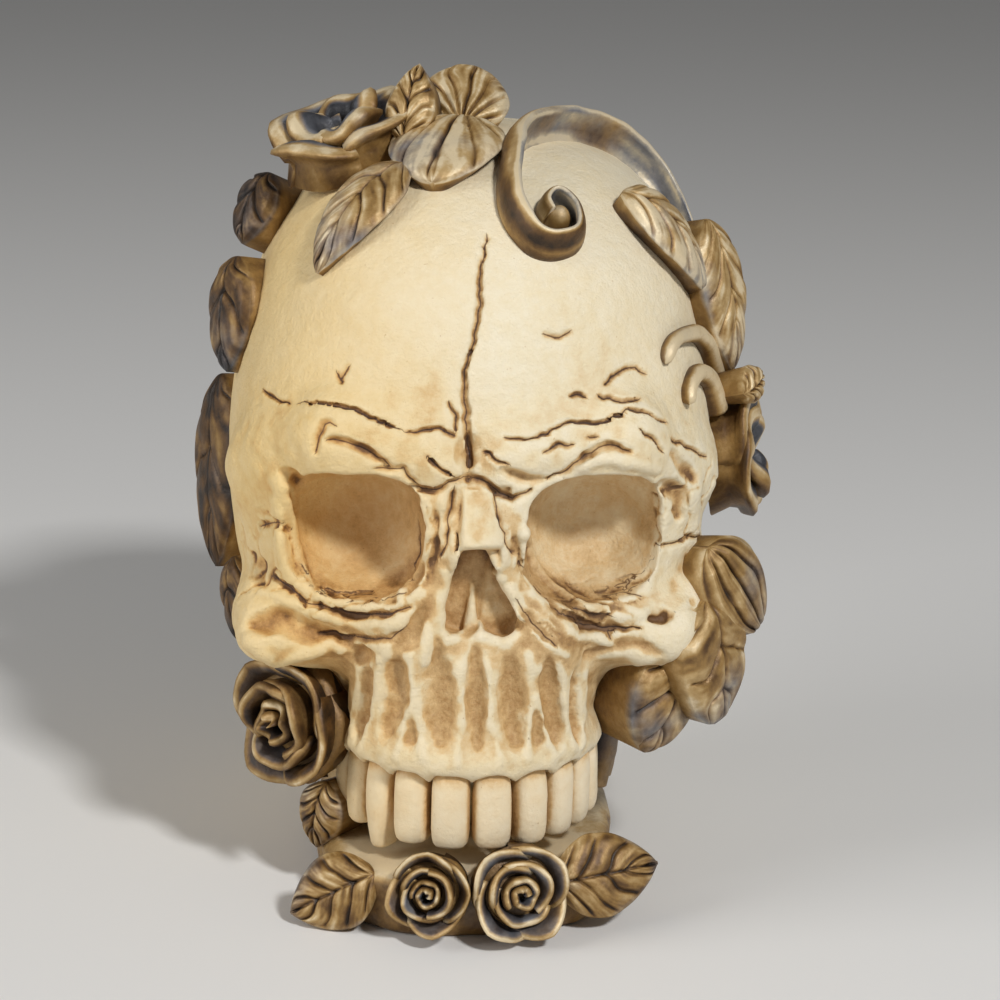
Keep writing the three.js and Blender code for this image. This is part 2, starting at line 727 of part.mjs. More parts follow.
const ROSES = [
  {
    name: "rose_front_right",
    place: rimPlace({ aside: 0.3, height: 9.2, facing: [8, 12], turn: 0, droop: 0 }),
    radius: 8.6,
    height: 7,
    sink: LEAF_SINK,
  },
  {
    name: "rose_front_left",
    place: rimPlace({ aside: -0.26, height: 9, facing: [-10, 12], turn: 30, droop: 0 }),
    radius: 7.2,
    height: 6.5,
    sink: LEAF_SINK,
  },
  {
    name: "rose_cheek",
    place: offsetPlace({ lon: -50, lat: -49, facing: [-45, 2], standoff: 11, turn: 0, droop: 0 }),
    radius: 12,
    height: 8,
    sink: ROSE_SINK,
  },
  {
    name: "rose_crown",
    place: offsetPlace({ lon: -87, lat: 71, facing: [-55, 66], standoff: 3.5, turn: 20, droop: 0 }),
    radius: 11.5,
    height: 9,
    sink: ROSE_SINK,
  },
  {
    name: "rose_side",
    place: offsetPlace({ lon: 84, lat: 14, facing: [78, 4], standoff: 3.5, turn: 0, droop: 0 }),
    radius: 11.5,
    height: 8,
    sink: ROSE_SINK,
  },
];

// The leaves on the skin, with their lifts off it at the stalk and at the tip

const SKIN_LEAVES = [
  { name: "crown_leaf_low", spot: { lon: -21, lat: 78, turn: 178 }, length: 24, width: 20, lift: [2.5, 1.5] },
  { name: "brow_leaf", spot: { lon: -41, lat: 62, turn: -172 }, length: 25, width: 14, lift: [1.5, 1] },
  { name: "temple_leaf", spot: { lon: 63, lat: 55, turn: 149 }, length: 24, width: 14, lift: [2.5, 2.5] },
];

// The leaves and the bud that stand off the skull

const STANDING_LEAVES = [
  {
    name: "crown_leaf_high",
    spot: { lon: -173, lat: 79, facing: [10, 48], standoff: 7, turn: 18, droop: 0 },
    size: [14, 16],
    sink: STANDING_SINK,
  },
  {
    name: "crown_leaf_back",
    spot: { lon: -117, lat: 83, facing: [-20, 30], standoff: 12, turn: 0, droop: 0 },
    size: [15, 9],
    sink: STANDING_SINK,
  },
  {
    name: "side_leaf_upper",
    spot: { lon: 82, lat: 44, facing: [55, 12], standoff: 5.5, turn: 176, droop: 0.004 },
    size: [28, 15],
    sink: STANDING_SINK,
  },
  {
    name: "side_bud",
    spot: { lon: 77, lat: 28, facing: [60, 15], standoff: 8, turn: 74, droop: 0 },
    size: [9, 7],
    sink: STANDING_SINK,
  },
  {
    name: "left_leaf_upper",
    spot: { lon: -103, lat: 55, facing: [-60, 25], standoff: 5, turn: -176, droop: 0 },
    size: [14, 14],
    sink: STANDING_SINK,
  },
  {
    name: "left_leaf_middle",
    spot: { lon: -86, lat: 41, facing: [-62, 10], standoff: 3, turn: 172, droop: 0 },
    size: [21, 16],
    sink: STANDING_SINK,
  },
  {
    name: "left_leaf_long",
    spot: { lon: -97, lat: 5, facing: [-62, 5], standoff: 2, turn: 174, droop: 0 },
    size: [36, 18],
    sink: STANDING_SINK,
  },
  {
    name: "left_leaf_lower",
    spot: { lon: -78, lat: -24, facing: [-62, 0], standoff: 4, turn: 165, droop: 0 },
    size: [17, 12],
    sink: STANDING_SINK,
  },
  {
    name: "side_leaf_middle",
    spot: { lon: 62, lat: -12, facing: [45, 8], standoff: 8, turn: 145, droop: 0.006 },
    size: [21, 16],
    sink: DEEP_SINK,
  },
  {
    name: "side_leaf_low",
    spot: { lon: 53, lat: -24, facing: [48, 2], standoff: 6.5, turn: 172, droop: 0.006 },
    size: [24, 19],
    sink: DEEP_SINK,
  },
  {
    name: "side_leaf_lowest",
    spot: { lon: 49, lat: -39, facing: [38, -4], standoff: 15, turn: -162, droop: 0.006 },
    size: [20, 17],
    sink: DEEP_SINK,
  },
  {
    name: "jaw_leaf",
    spot: { lon: -43, lat: -64, facing: [-40, 5], standoff: 13.5, turn: -172, droop: 0.01 },
    size: [13, 10],
    sink: DEEP_SINK,
  },
];

// The leaves on the rim of the foot, which reach out past it by their own lengths ahead

const RIM_LEAVES = [
  {
    name: "base_leaf_right",
    spot: { aside: 0.7, height: 9, facing: [18, 22], turn: 86, droop: 0.004 },
    size: [20, 15],
    ahead: 5,
  },
  {
    name: "base_leaf_left",
    spot: { aside: -0.74, height: 7.4, facing: [-18, 22], turn: -121, droop: 0.004 },
    size: [17, 14],
    ahead: 4,
  },
];
const RIM_LEAF_LIFT = [1, 2];

function leafBuilders() {
  const leaves = SKIN_LEAVES.map((leaf) => {
    return { ...leaf, place: skinPlace(leaf.spot), ahead: 0, sink: LEAF_SINK };
  });
  for (const { name, spot, size, sink } of STANDING_LEAVES) {
    const [length, width] = size;
    leaves.push({ name, place: offsetPlace(spot), length, width, lift: [0, 0], ahead: 0, sink });
  }
  for (const { name, spot, size, ahead } of RIM_LEAVES) {
    const [length, width] = size;
    leaves.push({ name, place: rimPlace(spot), length, width, lift: RIM_LEAF_LIFT, ahead, sink: LEAF_SINK });
  }
  return leaves.map((leaf) => [leaf.name, (grow) => leafSolid(leaf.place, leaf, grow)]);
}

function ornamentBuilders() {
  const builders = [];
  for (const rose of ROSES) {
    builders.push([rose.name, (grow) => roseSolid(rose.place, rose, grow)]);
  }
  builders.push(["crown_scroll", scrollSolid], ...leafBuilders());
  for (const [name, route] of Object.entries(TENDRIL_ROUTES)) {
    builders.push([name, (grow) => tubeSolid(route, TENDRIL_THICKNESS, TENDRIL_PROUD, grow)]);
  }
  for (const [name, route] of Object.entries(STEM_ROUTES)) {
    builders.push([name, (grow) => tubeSolid(route, STEM_THICKNESS, STEM_PROUD, grow)]);
  }
  return builders;
}

// The assembly: the casting and teeth first, then each ornament, which gives way to all that came before

const teeth = placedTeeth();
const underside = blockUnder(FOOT_HEIGHT + GLUE_GAP);
let skull = skullSkin(0);
for (const cutter of [socketCutter(-1), socketCutter(1), noseCutter(), underside, hollowCutter()]) {
  skull = skull.subtract(cutter);
}
for (const cutter of [...teeth.map((tooth) => tooth.grown), ...toothGapCutters()]) {
  skull = skull.subtract(cutter);
}
addPiece("skull_shell", skull, BONE);
for (const tooth of teeth) {
  addPiece(tooth.name, tooth.solid, TOOTH_IVORY);
}
addPiece("floral_foot", footSolid(), BRONZE);

const taken = [blockUnder(0), footBed(GLUE_GAP), skullSkin(GLUE_GAP), ...teeth.map((tooth) => tooth.grown)];
for (const [name, build] of ornamentBuilders()) {
  let ornament = build(0);
  for (const neighbour of taken) {
    ornament = ornament.subtract(neighbour);
  }
  addPiece(name, ornament, BRONZE);
  taken.push(build(GLUE_GAP));
}

export default part;
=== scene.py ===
"""The looks of a cast skull ornament: aged ivory bone under a brown wash, with bronze roses and leaves."""

import math

import bpy
import numpy as np
from mathutils import Matrix, Vector


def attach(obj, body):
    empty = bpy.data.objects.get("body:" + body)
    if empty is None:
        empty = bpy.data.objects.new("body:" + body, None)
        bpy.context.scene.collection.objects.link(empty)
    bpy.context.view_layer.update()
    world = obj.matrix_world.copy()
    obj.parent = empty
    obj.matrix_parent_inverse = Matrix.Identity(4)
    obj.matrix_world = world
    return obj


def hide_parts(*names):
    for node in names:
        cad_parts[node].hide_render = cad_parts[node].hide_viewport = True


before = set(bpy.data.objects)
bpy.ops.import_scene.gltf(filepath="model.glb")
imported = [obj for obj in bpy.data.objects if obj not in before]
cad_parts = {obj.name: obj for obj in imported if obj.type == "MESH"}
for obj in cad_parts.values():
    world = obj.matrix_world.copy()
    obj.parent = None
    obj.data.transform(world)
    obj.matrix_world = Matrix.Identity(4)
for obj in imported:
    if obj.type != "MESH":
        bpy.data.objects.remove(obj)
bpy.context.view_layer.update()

# Sizes are millimetres, which MM turns into metres. Those of the materials and the stage are metres.
MM = 0.001

# The camera, set to the photograph
PICTURE_SIZE = 1000
SENSOR_WIDTH = 36.0
LENS = 100.15
CAMERA_TURN = -3.0
CAMERA_RISE = 15.0
CAMERA_ROLL = 1.2
CAMERA_DISTANCE = 520.0
AIM_HEIGHT = 65.4
AIM_ASIDE = 6.4

# The skull, as in the CAD
HEAD_CENTRE = np.array([0.0, -2.0, 66.0])
HEAD_LEAN = 0.03
UNDERSIDE = 10.9
EYE_SPACING = 41.5
EYE_HEIGHT = 68.0
POUR_HOLE = 22.0
POUR_HOLE_SETBACK = 14.0
POUR_HOLE_SHOWN = 40.0

# Each lump of the skull: middle, radii, squareness, and how softly it melts into those before it
LUMPS = (
    ((0, 10, 84.5), (42.5, 56, 50), 2.5, 1),
    ((0, -8, 71), (40.5, 36, 31), 3, 10),
    ((0, 2, 33), (23, 38, 26), 3.2, 9),
    ((0, -24, 41), (21.5, 26, 20), 3, 5),
    ((32.5, -30, 51), (9.5, 12, 7), 2.3, 6),
)
# Each ridge of the skull: start, end, thickness and softness
RIDGES = (
    ((6, -40, 87), (24, -40, 87), 12, 5),
    ((24, -40, 87), (36.5, -24, 78), 12, 6),
    ((7, -40, 77), (12, -43, 53), 10, 5),
    ((0, -40, 78), (0, -48.5, 69), 9, 4),
)

# The teeth
GUM_HEIGHT = 29.0
TOOTH_TIP = 15.5
TOOTH_ROOT = 4.0
TOOTH_DEPTH = 6.4
TOOTH_GAP = 0.35
TOOTH_WIDTHS = (6.8, 6.4, 6.0, 5.8, 5.8)
ARCH_HALF_WIDTH = 21.0
ARCH_HALF_DEPTH = 24.08
ARCH_MIDDLE = -24.0

# The foot
FOOT_WIDTH = 54.0
FOOT_LENGTH = 90.0
FOOT_HEIGHT = 11.0
FOOT_SETBACK = -8.0
FOOT_ROUNDING = 2.0
FOOT_SQUARENESS = 3.0


# Plain geometry


def unit(vector):
    return vector / np.linalg.norm(vector, axis=-1, keepdims=True)


def smoothstep(low, high, value):
    share = np.clip((value - low) / (high - low), 0, 1)
    return share * share * (3 - 2 * share)


# Large numbers that scatter the corners of the noise
CORNER_SCATTER = (73856093, 19349663, 83492791)
SEED_SCATTER = 40503
MIX_SCATTER = 1274126177
MIX_SHIFTS = (13, 16)
NOISE_RANGE = 0xFFFF


def lattice(corner, seed):
    """A number from -1 to 1 for each whole-numbered corner, always the same for the same seed."""
    x, y, z = (corner[..., axis] * scatter for axis, scatter in enumerate(CORNER_SCATTER))
    mixed = x ^ y ^ z ^ seed * SEED_SCATTER
    mixed = (mixed ^ (mixed >> MIX_SHIFTS[0])) * MIX_SCATTER
    mixed = mixed ^ (mixed >> MIX_SHIFTS[1])
    return (mixed & NOISE_RANGE) / (NOISE_RANGE / 2) - 1


def noise(points, lump, seed):
    """Smooth noise from -1 to 1, with bumps about one lump wide."""
    cell = points / lump
    base = np.floor(cell).astype(np.int64)
    part = smoothstep(0, 1, cell - base)
    total = np.zeros(points.shape[:-1])
    for corner in np.ndindex(2, 2, 2):
        weight = np.prod(np.where(corner, part, 1 - part), axis=-1)
        total += weight * lattice(base + np.array(corner), seed)
    return total


def layered(points, layers):
    """Noises added up, each given by its weight, the width of its bumps and its seed."""
    return sum(weight * noise(points, lump, seed) for weight, lump, seed in layers)


def shaken(points, amount, lump, seed):
    """Points moved about a little, as a hand-made surface is uneven."""
    return points + amount * np.stack([noise(points, lump, seed + axis) for axis in range(3)], -1)


def seed_of(name):
    return sum(ord(letter) for letter in name)


def walked(points):
    """How far along the straight lines through the points each of them lies."""
    return np.concatenate([[0], np.cumsum(np.linalg.norm(np.diff(points, axis=0), axis=1))])


def even_steps(points, count):
    """So many points at even steps along the straight lines through the given ones."""
    reached = walked(points)
    at = np.linspace(0, reached[-1], count)
    return np.stack([np.interp(at, reached, column) for column in points.T], -1)


def resample(points, step):
    """Points along the same lines, about one step apart."""
    return even_steps(points, max(2, int(round(walked(points)[-1] / step)) + 1))


def full_turn(count):
    return np.linspace(0, 2 * math.pi, count, endpoint=False)


def blunt_oval(turn, squareness):
    """Points of a unit circle that is pushed out towards the corners of its square."""
    return np.stack([np.sign(v) * np.abs(v) ** (2 / squareness) for v in (np.cos(turn), np.sin(turn))], -1)


# The skull's field: negative inside, zero on the skin


def melt(a, b, softness):
    """Joins two fields, with a soft fillet where they meet."""
    near = np.maximum(softness - np.abs(a - b), 0) / softness
    return np.minimum(a, b) - near * near * softness / 4


def carve(a, b, softness):
    """Takes b out of a."""
    return -melt(-a, b, softness)


def lump_field(x, y, z, at, radii, squareness):
    """An egg with its radii along the axes, made squarer."""
    reach = sum(np.abs((v - a) / r) ** squareness for v, a, r in zip((x, y, z), at, radii))
    return (reach ** (1 / squareness) - 1) * min(radii)


def tube_field(x, y, z, points, radii):
    """Distance to a tube through the points, with a radius at each."""
    nearest = np.inf
    for start, end, first, last in zip(points[:-1], points[1:], radii[:-1], radii[1:]):
        along = end - start
        away = [v - s for v, s in zip((x, y, z), start)]
        share = np.clip(sum(a * l for a, l in zip(away, along)) / (along @ along), 0, 1)
        far = np.sqrt(sum((a - share * l) ** 2 for a, l in zip(away, along)))
        nearest = np.minimum(nearest, far - first - (last - first) * share)
    return nearest


def skin_field(x, y, z):
    """The skull's skin before anything is carved: its lumps and ridges melted together."""
    side = np.abs(x - HEAD_LEAN * np.maximum(z - EYE_HEIGHT, 0))
    skin = None
    for at, radii, squareness, softness in LUMPS:
        lump = lump_field(side, y, z, at, radii, squareness)
        skin = lump if skin is None else melt(skin, lump, softness)
    for start, end, thickness, softness in RIDGES:
        ends = np.array([start, end], float)
        skin = melt(skin, tube_field(side, y, z, ends, (thickness / 2, thickness / 2)), softness)
    return skin


def skin_field_at(points):
    return skin_field(points[..., 0], points[..., 1], points[..., 2])


# Where along a ray from the middle of the head the skin is looked for
SEARCH_NEAR = 15.0
SEARCH_FAR = 125.0
SEARCH_STEPS = 111
HALVINGS = 14


def halve(origin, directions, inner, outer, field):
    """Closes in on the skin of a field between a distance that lies inside and one that lies outside."""
    for _ in range(HALVINGS):
        middle = (inner + outer) / 2
        outside = field(origin + directions * middle[..., None]) > 0
        outer = np.where(outside, middle, outer)
        inner = np.where(outside, inner, middle)
    return origin + directions * inner[..., None]


def skin_point(directions):
    """The outermost skin point along each ray from the middle of the head."""
    reach = np.linspace(SEARCH_NEAR, SEARCH_FAR, SEARCH_STEPS)
    inside = skin_field_at(HEAD_CENTRE + directions[..., None, :] * reach[:, None]) < 0
    last = SEARCH_STEPS - 1 - np.argmax(inside[..., ::-1], axis=-1)
    last = np.minimum(last, SEARCH_STEPS - 2)
    return halve(HEAD_CENTRE, directions, reach[last], reach[last + 1], skin_field_at)


NORMAL_REACH = 0.4


def skin_normal(points):
    slopes = []
    for axis in range(3):
        step = np.zeros(3)
        step[axis] = NORMAL_REACH
        slopes.append(skin_field_at(points + step) - skin_field_at(points - step))
    return unit(np.stack(slopes, -1))


def head_direction(longitude, latitude):
    lon, lat = np.radians(longitude), np.radians(latitude)
    return np.stack([np.cos(lat) * np.sin(lon), -np.cos(lat) * np.cos(lon), np.sin(lat)], -1)


def skin_spots(spots):
    """The skin points at a list of longitudes and latitudes."""
    return skin_point(head_direction(*np.array(spots, float).T))


# Where a pixel of the photograph meets the skin


def camera_axes():
    turn = math.radians(CAMERA_TURN)
    rise = math.radians(CAMERA_RISE)
    roll = math.radians(CAMERA_ROLL)
    back = np.array([math.sin(turn) * math.cos(rise), -math.cos(turn) * math.cos(rise), math.sin(rise)])
    level = np.array([math.cos(turn), math.sin(turn), 0.0])
    upright = np.cross(back, level)
    right = level * math.cos(roll) + upright * math.sin(roll)
    up = upright * math.cos(roll) - level * math.sin(roll)
    eye = np.array([0, 0, AIM_HEIGHT]) + level * AIM_ASIDE + back * CAMERA_DISTANCE
    return eye, right, up, back


EYE, RIGHT, UP, BACK = camera_axes()
PIXELS_PER_SLOPE = LENS / SENSOR_WIDTH * PICTURE_SIZE
# How many pixels of the photograph a millimetre of the face takes up
PIXELS_PER_MM = 5.9
# Where along a ray from the camera the skull is looked for
RAY_NEAR = CAMERA_DISTANCE - 90.0
RAY_FAR = CAMERA_DISTANCE + 60.0
RAY_STEPS = 301


def on_skin(pixels, shape=skin_field_at):
    """Where the rays through these pixels of the photograph meet a shape, or pass closest to it."""
    slope = (np.array(pixels, float) - PICTURE_SIZE / 2) / PIXELS_PER_SLOPE
    directions = unit(RIGHT * slope[:, :1] - UP * slope[:, 1:] - BACK)
    reach = np.linspace(RAY_NEAR, RAY_FAR, RAY_STEPS)
    field = shape(EYE + directions[:, None, :] * reach[:, None])
    inside = field < 0
    first = np.maximum(np.argmax(inside, axis=1), 1)
    missed = EYE + directions * reach[np.argmin(field, axis=1)][:, None]
    found = halve(EYE, directions, reach[first], reach[first - 1], shape)
    return np.where(np.any(inside, axis=1)[:, None], found, missed)


# Marks on the skull: pixels of the photograph, radius at both ends, and how far they stand out or cut in

BULGES = (
    (((396, 454), (424, 458), (448, 468)), 3.0, 3.6, 0.6),
    (((512, 460), (536, 457), (562, 453)), 3.6, 3.0, 0.6),
    (((600, 640), (640, 652), (672, 640), (695, 610)), 2.4, 2.6, 0.6),
    (((281, 486), (283, 530), (288, 570)), 1.6, 1.6, 0.6),
    (((690, 500), (694, 545), (690, 590)), 2.5, 2.5, 0.6),
)
RIMS = (
    (((584, 466), (606, 459), (636, 463), (656, 471)), 1.4, 1.2, 0.7),
    (((250, 642), (276, 664), (300, 656), (330, 647), (352, 650)), 1.8, 1.2, 0.9),
    (((286, 500), (290, 520), (296, 550), (304, 584), (331, 604), (370, 607), (403, 597)), 1.0, 1.0, 0.8),
    (((403, 597), (425, 569), (431, 530), (424, 500)), 1.0, 0.8, 0.8),
    (((262, 592), (300, 604), (330, 619), (360, 627), (395, 624), (418, 604)), 1.0, 1.0, 0.7),
    (((444, 500), (446, 540), (440, 580), (432, 625), (424, 660)), 1.0, 1.2, 0.7),
    (((524, 534), (531, 563), (553, 588), (587, 608), (620, 616), (656, 610)), 1.0, 1.0, 0.9),
    (((512, 560), (524, 588), (545, 612), (578, 636), (612, 642)), 1.0, 0.9, 0.7),
    (((506, 585), (522, 612), (545, 640), (566, 655)), 0.9, 0.9, 0.6),
    (((446, 572), (440, 604), (438, 630), (447, 641), (467, 634)), 1.0, 0.9, 0.7),
    (((497, 571), (512, 592), (522, 614), (518, 636), (503, 645), (480, 634)), 1.0, 0.9, 0.7),
)
HOLLOWS = (
    (((252, 624), (278, 620), (308, 632), (345, 644)), 3.2, 2.0, 2.4),
    (((349, 652), (369, 656)), 2.0, 1.8, 1.6),
    (((420, 606), (412, 634), (396, 652)), 2.0, 2.4, 1.6),
    (((437, 506), (436, 540), (428, 584)), 1.6, 2.0, 1.2),
    (((514, 540), (520, 570), (536, 598), (566, 624)), 1.3, 1.5, 1.5),
    (((652, 484), (672, 487), (683, 499), (679, 516)), 1.6, 1.8, 1.8),
    (((672, 453), (682, 466), (694, 480)), 1.1, 1.5, 1.4),
    (((648, 614), (668, 616)), 1.6, 1.4, 1.8),
    (((283, 473), (290, 477), (300, 484)), 1.6, 1.6, 1.6),
    (((469, 436), (470, 462)), 2.2, 2.6, 1.4),
    (((506, 474), (528, 480), (546, 480)), 1.6, 1.2, 1.4),
    (((252, 556), (261, 568), (257, 590)), 1.6, 1.4, 1.1),
    (((586, 655), (616, 646), (642, 645), (659, 655)), 1.4, 1.2, 1.1),
)
CREASES = (
    (((315, 451), (316, 435), (326, 419), (334, 425)), 0.9, 0.7, 0.9),
    (((326, 439), (344, 443), (361, 448), (374, 456), (388, 467)), 0.7, 1.0, 1.1),
    (((376, 468), (402, 470), (417, 487)), 0.8, 0.9, 0.8),
    (((410, 486), (434, 491), (452, 483), (465, 478), (484, 482), (509, 500), (532, 491)), 0.7, 0.8, 1.2),
    (((548, 478), (566, 473), (578, 463), (596, 451), (609, 444), (621, 448), (630, 454)), 0.8, 1.0, 1.2),
    (((452, 488), (449, 512), (447, 531), (440, 556)), 0.6, 0.7, 0.9),
    (((494, 494), (503, 531), (510, 552)), 0.5, 0.6, 0.7),
    (((258, 527), (275, 524), (289, 531)), 0.8, 0.9, 1.1),
    (((664, 546), (682, 541), (703, 535)), 0.6, 0.6, 0.9),
    (((273, 576), (303, 601), (348, 615), (387, 615), (409, 606)), 0.7, 0.7, 1.0),
    (((320, 632), (360, 640), (385, 640), (405, 628)), 0.7, 0.7, 0.9),
    (((518, 560), (536, 590), (564, 613), (598, 629), (640, 628)), 0.8, 0.7, 1.2),
    (((516, 600), (530, 622), (556, 646)), 0.7, 0.7, 0.9),
    (((576, 586), (596, 577), (612, 582), (634, 574)), 0.45, 0.4, 0.6),
    (((600, 596), (622, 590), (640, 596)), 0.45, 0.4, 0.6),
    (((312, 586), (340, 594), (372, 592)), 0.5, 0.5, 0.5),
    (((612, 630), (607, 634), (610, 640)), 0.5, 0.5, 0.6),
    (((556, 566), (570, 586), (592, 598), (616, 600)), 0.5, 0.45, 0.6),
    (((628, 588), (646, 578), (656, 562)), 0.5, 0.45, 0.6),
    (((566, 604), (590, 614), (612, 616)), 0.5, 0.45, 0.6),
    (((300, 566), (310, 584), (328, 596)), 0.5, 0.45, 0.6),
    (((350, 602), (380, 602), (404, 592)), 0.5, 0.45, 0.6),
    (((418, 520), (420, 552), (412, 580)), 0.5, 0.45, 0.6),
    (((470, 440), (469, 480)), 0.9, 1.2, 0.8),
)
CRACKS = (
    (((487, 235), (484, 255), (480, 271), (481, 300), (477, 324), (470, 355)), 0.48, 0.58, 1.0),
    (((470, 350), (464, 380), (466, 412), (468, 440), (470, 465)), 0.58, 0.77, 1.2),
    (((263, 391), (275, 400), (289, 403)), 0.48, 0.38, 0.8),
    (((299, 403), (326, 401), (356, 409), (376, 418), (398, 430)), 0.41, 0.43, 0.9),
    (((405, 433), (424, 431), (439, 428), (454, 435)), 0.43, 0.41, 0.8),
    (((506, 438), (528, 440), (543, 435), (571, 422), (598, 423), (626, 410)), 0.43, 0.41, 0.9),
    (((629, 408), (646, 411), (666, 422)), 0.43, 0.38, 0.8),
    (((672, 440), (690, 447), (707, 458)), 0.38, 0.38, 0.7),
    (((336, 372), (341, 382), (347, 366)), 0.43, 0.38, 0.6),
    (((545, 334), (556, 338), (570, 331)), 0.53, 0.43, 0.7),
    (((570, 396), (578, 394), (586, 397)), 0.58, 0.48, 0.8),
    (((588, 438), (597, 438)), 0.48, 0.43, 0.6),
    (((606, 385), (618, 372), (632, 366), (645, 372)), 0.53, 0.43, 0.7),
    (((600, 395), (620, 400), (640, 398)), 0.48, 0.43, 0.7),
    (((457, 534), (455, 551)), 0.48, 0.48, 0.8),
    (((545, 452), (560, 444), (572, 447)), 0.48, 0.43, 0.8),
    (((640, 430), (655, 438), (664, 452)), 0.48, 0.43, 0.8),
    (((448, 402), (456, 416), (455, 430)), 0.43, 0.43, 0.8),
    (((484, 452), (496, 462), (510, 464)), 0.48, 0.43, 0.9),
    (((428, 458), (440, 470), (452, 476)), 0.48, 0.43, 0.9),
)
FLUTES = (
    (((345, 680), (344, 712), (345, 744)), 1.6, 1.4, 1.6),
    (((367, 668), (366, 705), (356, 744)), 1.9, 1.6, 1.9),
    (((396, 656), (395, 700), (383, 742)), 2.8, 2.0, 2.2),
    (((411, 718), (410, 747)), 0.8, 1.3, 1.0),
    (((437, 650), (439, 710), (441, 747)), 3.0, 2.6, 2.3),
    (((475, 646), (477, 700), (478, 748)), 1.5, 1.8, 1.7),
    (((511, 660), (513, 715), (516, 747)), 2.5, 2.7, 2.3),
    (((538, 712), (538, 746)), 0.8, 1.3, 1.0),
    (((548, 660), (553, 705), (561, 748)), 1.8, 2.0, 2.0),
    (((574, 672), (575, 712), (579, 742)), 1.4, 1.5, 1.7),
)
# The ridges over the roots of the teeth: pixels alone
ROOT_RIDGES = (
    ((335, 676), (334, 705), (338, 742)),
    ((358, 668), (356, 700), (350, 744)),
    ((379, 660), (377, 689), (371, 718), (358, 752)),
    ((410, 656), (413, 689), (419, 725), (424, 760)),
    ((412, 706), (404, 730), (396, 758)),
    ((462, 664), (462, 710), (457, 764)),
    ((488, 664), (490, 715), (500, 764)),
    ((529, 652), (536, 698), (529, 725), (529, 760)),
    ((536, 698), (545, 733), (555, 757)),
    ((560, 664), (566, 722), (575, 750)),
    ((584, 672), (583, 745)),
)
# How the marks are drawn: their steps, how they thin out, stray and blend into the skull
MARK_STEP = 1.2
MARK_TAPER = 0.4
TAPER_POWER = 3
CRACK_STEP = 0.9
MARK_JITTER = 0.12
CRACK_JITTER = 0.14
BULGE_SOFTNESS = 3.0
RIM_SOFTNESS = 0.6
HOLLOW_SOFTNESS = 0.7
CREASE_SOFTNESS = 0.35
CRACK_SOFTNESS = 0.3
FLUTE_SOFTNESS = 0.7
FLUTE_TAPER = 0.7
ROOT_RADIUS = 0.9
ROOT_RISE = 0.35
# The slab of the nasal bone, from its top to its lower edge
NASAL_BONE = ((478, 489), (484, 547))
NASAL_HALF_WIDTHS = (2.7, 3.6)
NASAL_PROUD = 0.5
NASAL_DROP = 0.8
NASAL_UNDERCUT = 3.4
NASAL_WALL = 4.0
NASAL_MARGIN = 3.0
NASAL_SOFTNESS = 0.35
# The two lobes of the nose opening, and the septum between them
NOSE_TOP = (475, 568)
NOSE_LOBES = ((461, 617), (502, 622))
NOSE_TOP_RADIUS = 2.7
NOSE_LOBE_RADIUS = 3.5
NOSE_OPENING_DEPTH = 3.8
NOSE_SOFTNESS = 0.5
NOSE_REACH = 6.0
SEPTUM = ((471, 638), (473, 590))
SEPTUM_RADII = (1.2, 0.5)
SEPTUM_BACK = 3.5
SEPTUM_SOFTNESS = 0.6
# The sockets: a shallow rim with a bowl behind it
SOCKET_HEIGHT = 70.3
SOCKET_RIM = (12.5, 11.5, 12.0)
SOCKET_RIM_MIDDLE = -44.0
SOCKET_RIM_SQUARENESS = 2.8
SOCKET_BOWL = (11.3, 12.5, 10.8)
SOCKET_BOWL_MIDDLE = -41.0
SOCKET_BOWL_SQUARENESS = 2.2
SOCKET_SOFTNESS = 0.7
# The gums: a scalloped line, and a roll round the tops of the teeth
GUM_LINE = 28.6
GUM_SCALLOP = 2.3
GUM_LIP = 1.4
GUM_ROLL = 2.4
GUM_ROLL_RISE = 2.6
GUM_ROLL_OUT = 1.3
GUM_ROLL_SOFTNESS = 4.5
GUM_ROLL_TURN = 1.25
GUM_ROLL_STEPS = 25
GUM_CUT_BACK = 6.0
GUM_SOFTNESS = 0.5
GUM_BOX = ((-34.0, -58.0, UNDERSIDE), (34.0, -14.0, GUM_HEIGHT + 4.0))
# How far the boxes that are carved reach past a shape
BOX_MARGIN = 2.0
TUBE_MARGIN = 1.0

# Patches where more of the brown wash has stayed: pixel, reach and strength
STAINS = (
    ((600, 582), 6.0, 0.14), ((580, 628), 6.0, 0.18), ((640, 640), 5.0, 0.08), ((690, 480), 4.0, 0.10),
    ((430, 560), 5.0, 0.16), ((425, 620), 6.0, 0.18), ((350, 640), 6.0, 0.12), ((270, 628), 5.0, 0.10),
    ((470, 455), 4.0, 0.18), ((520, 500), 4.0, 0.14), ((380, 690), 5.0, 0.08), ((545, 690), 4.0, 0.06),
    ((585, 395), 7.0, 0.10), ((640, 390), 5.0, 0.08), ((430, 395), 5.0, 0.06), ((520, 640), 5.0, 0.12),
    ((355, 345), 6.0, 0.05), ((440, 250), 8.0, 0.05), ((330, 290), 7.0, 0.04), ((600, 335), 8.0, 0.05),
    ((560, 290), 6.0, 0.04), ((415, 375), 6.0, 0.07),
)

RANDOM_SEED = 7
random = np.random.default_rng(RANDOM_SEED)


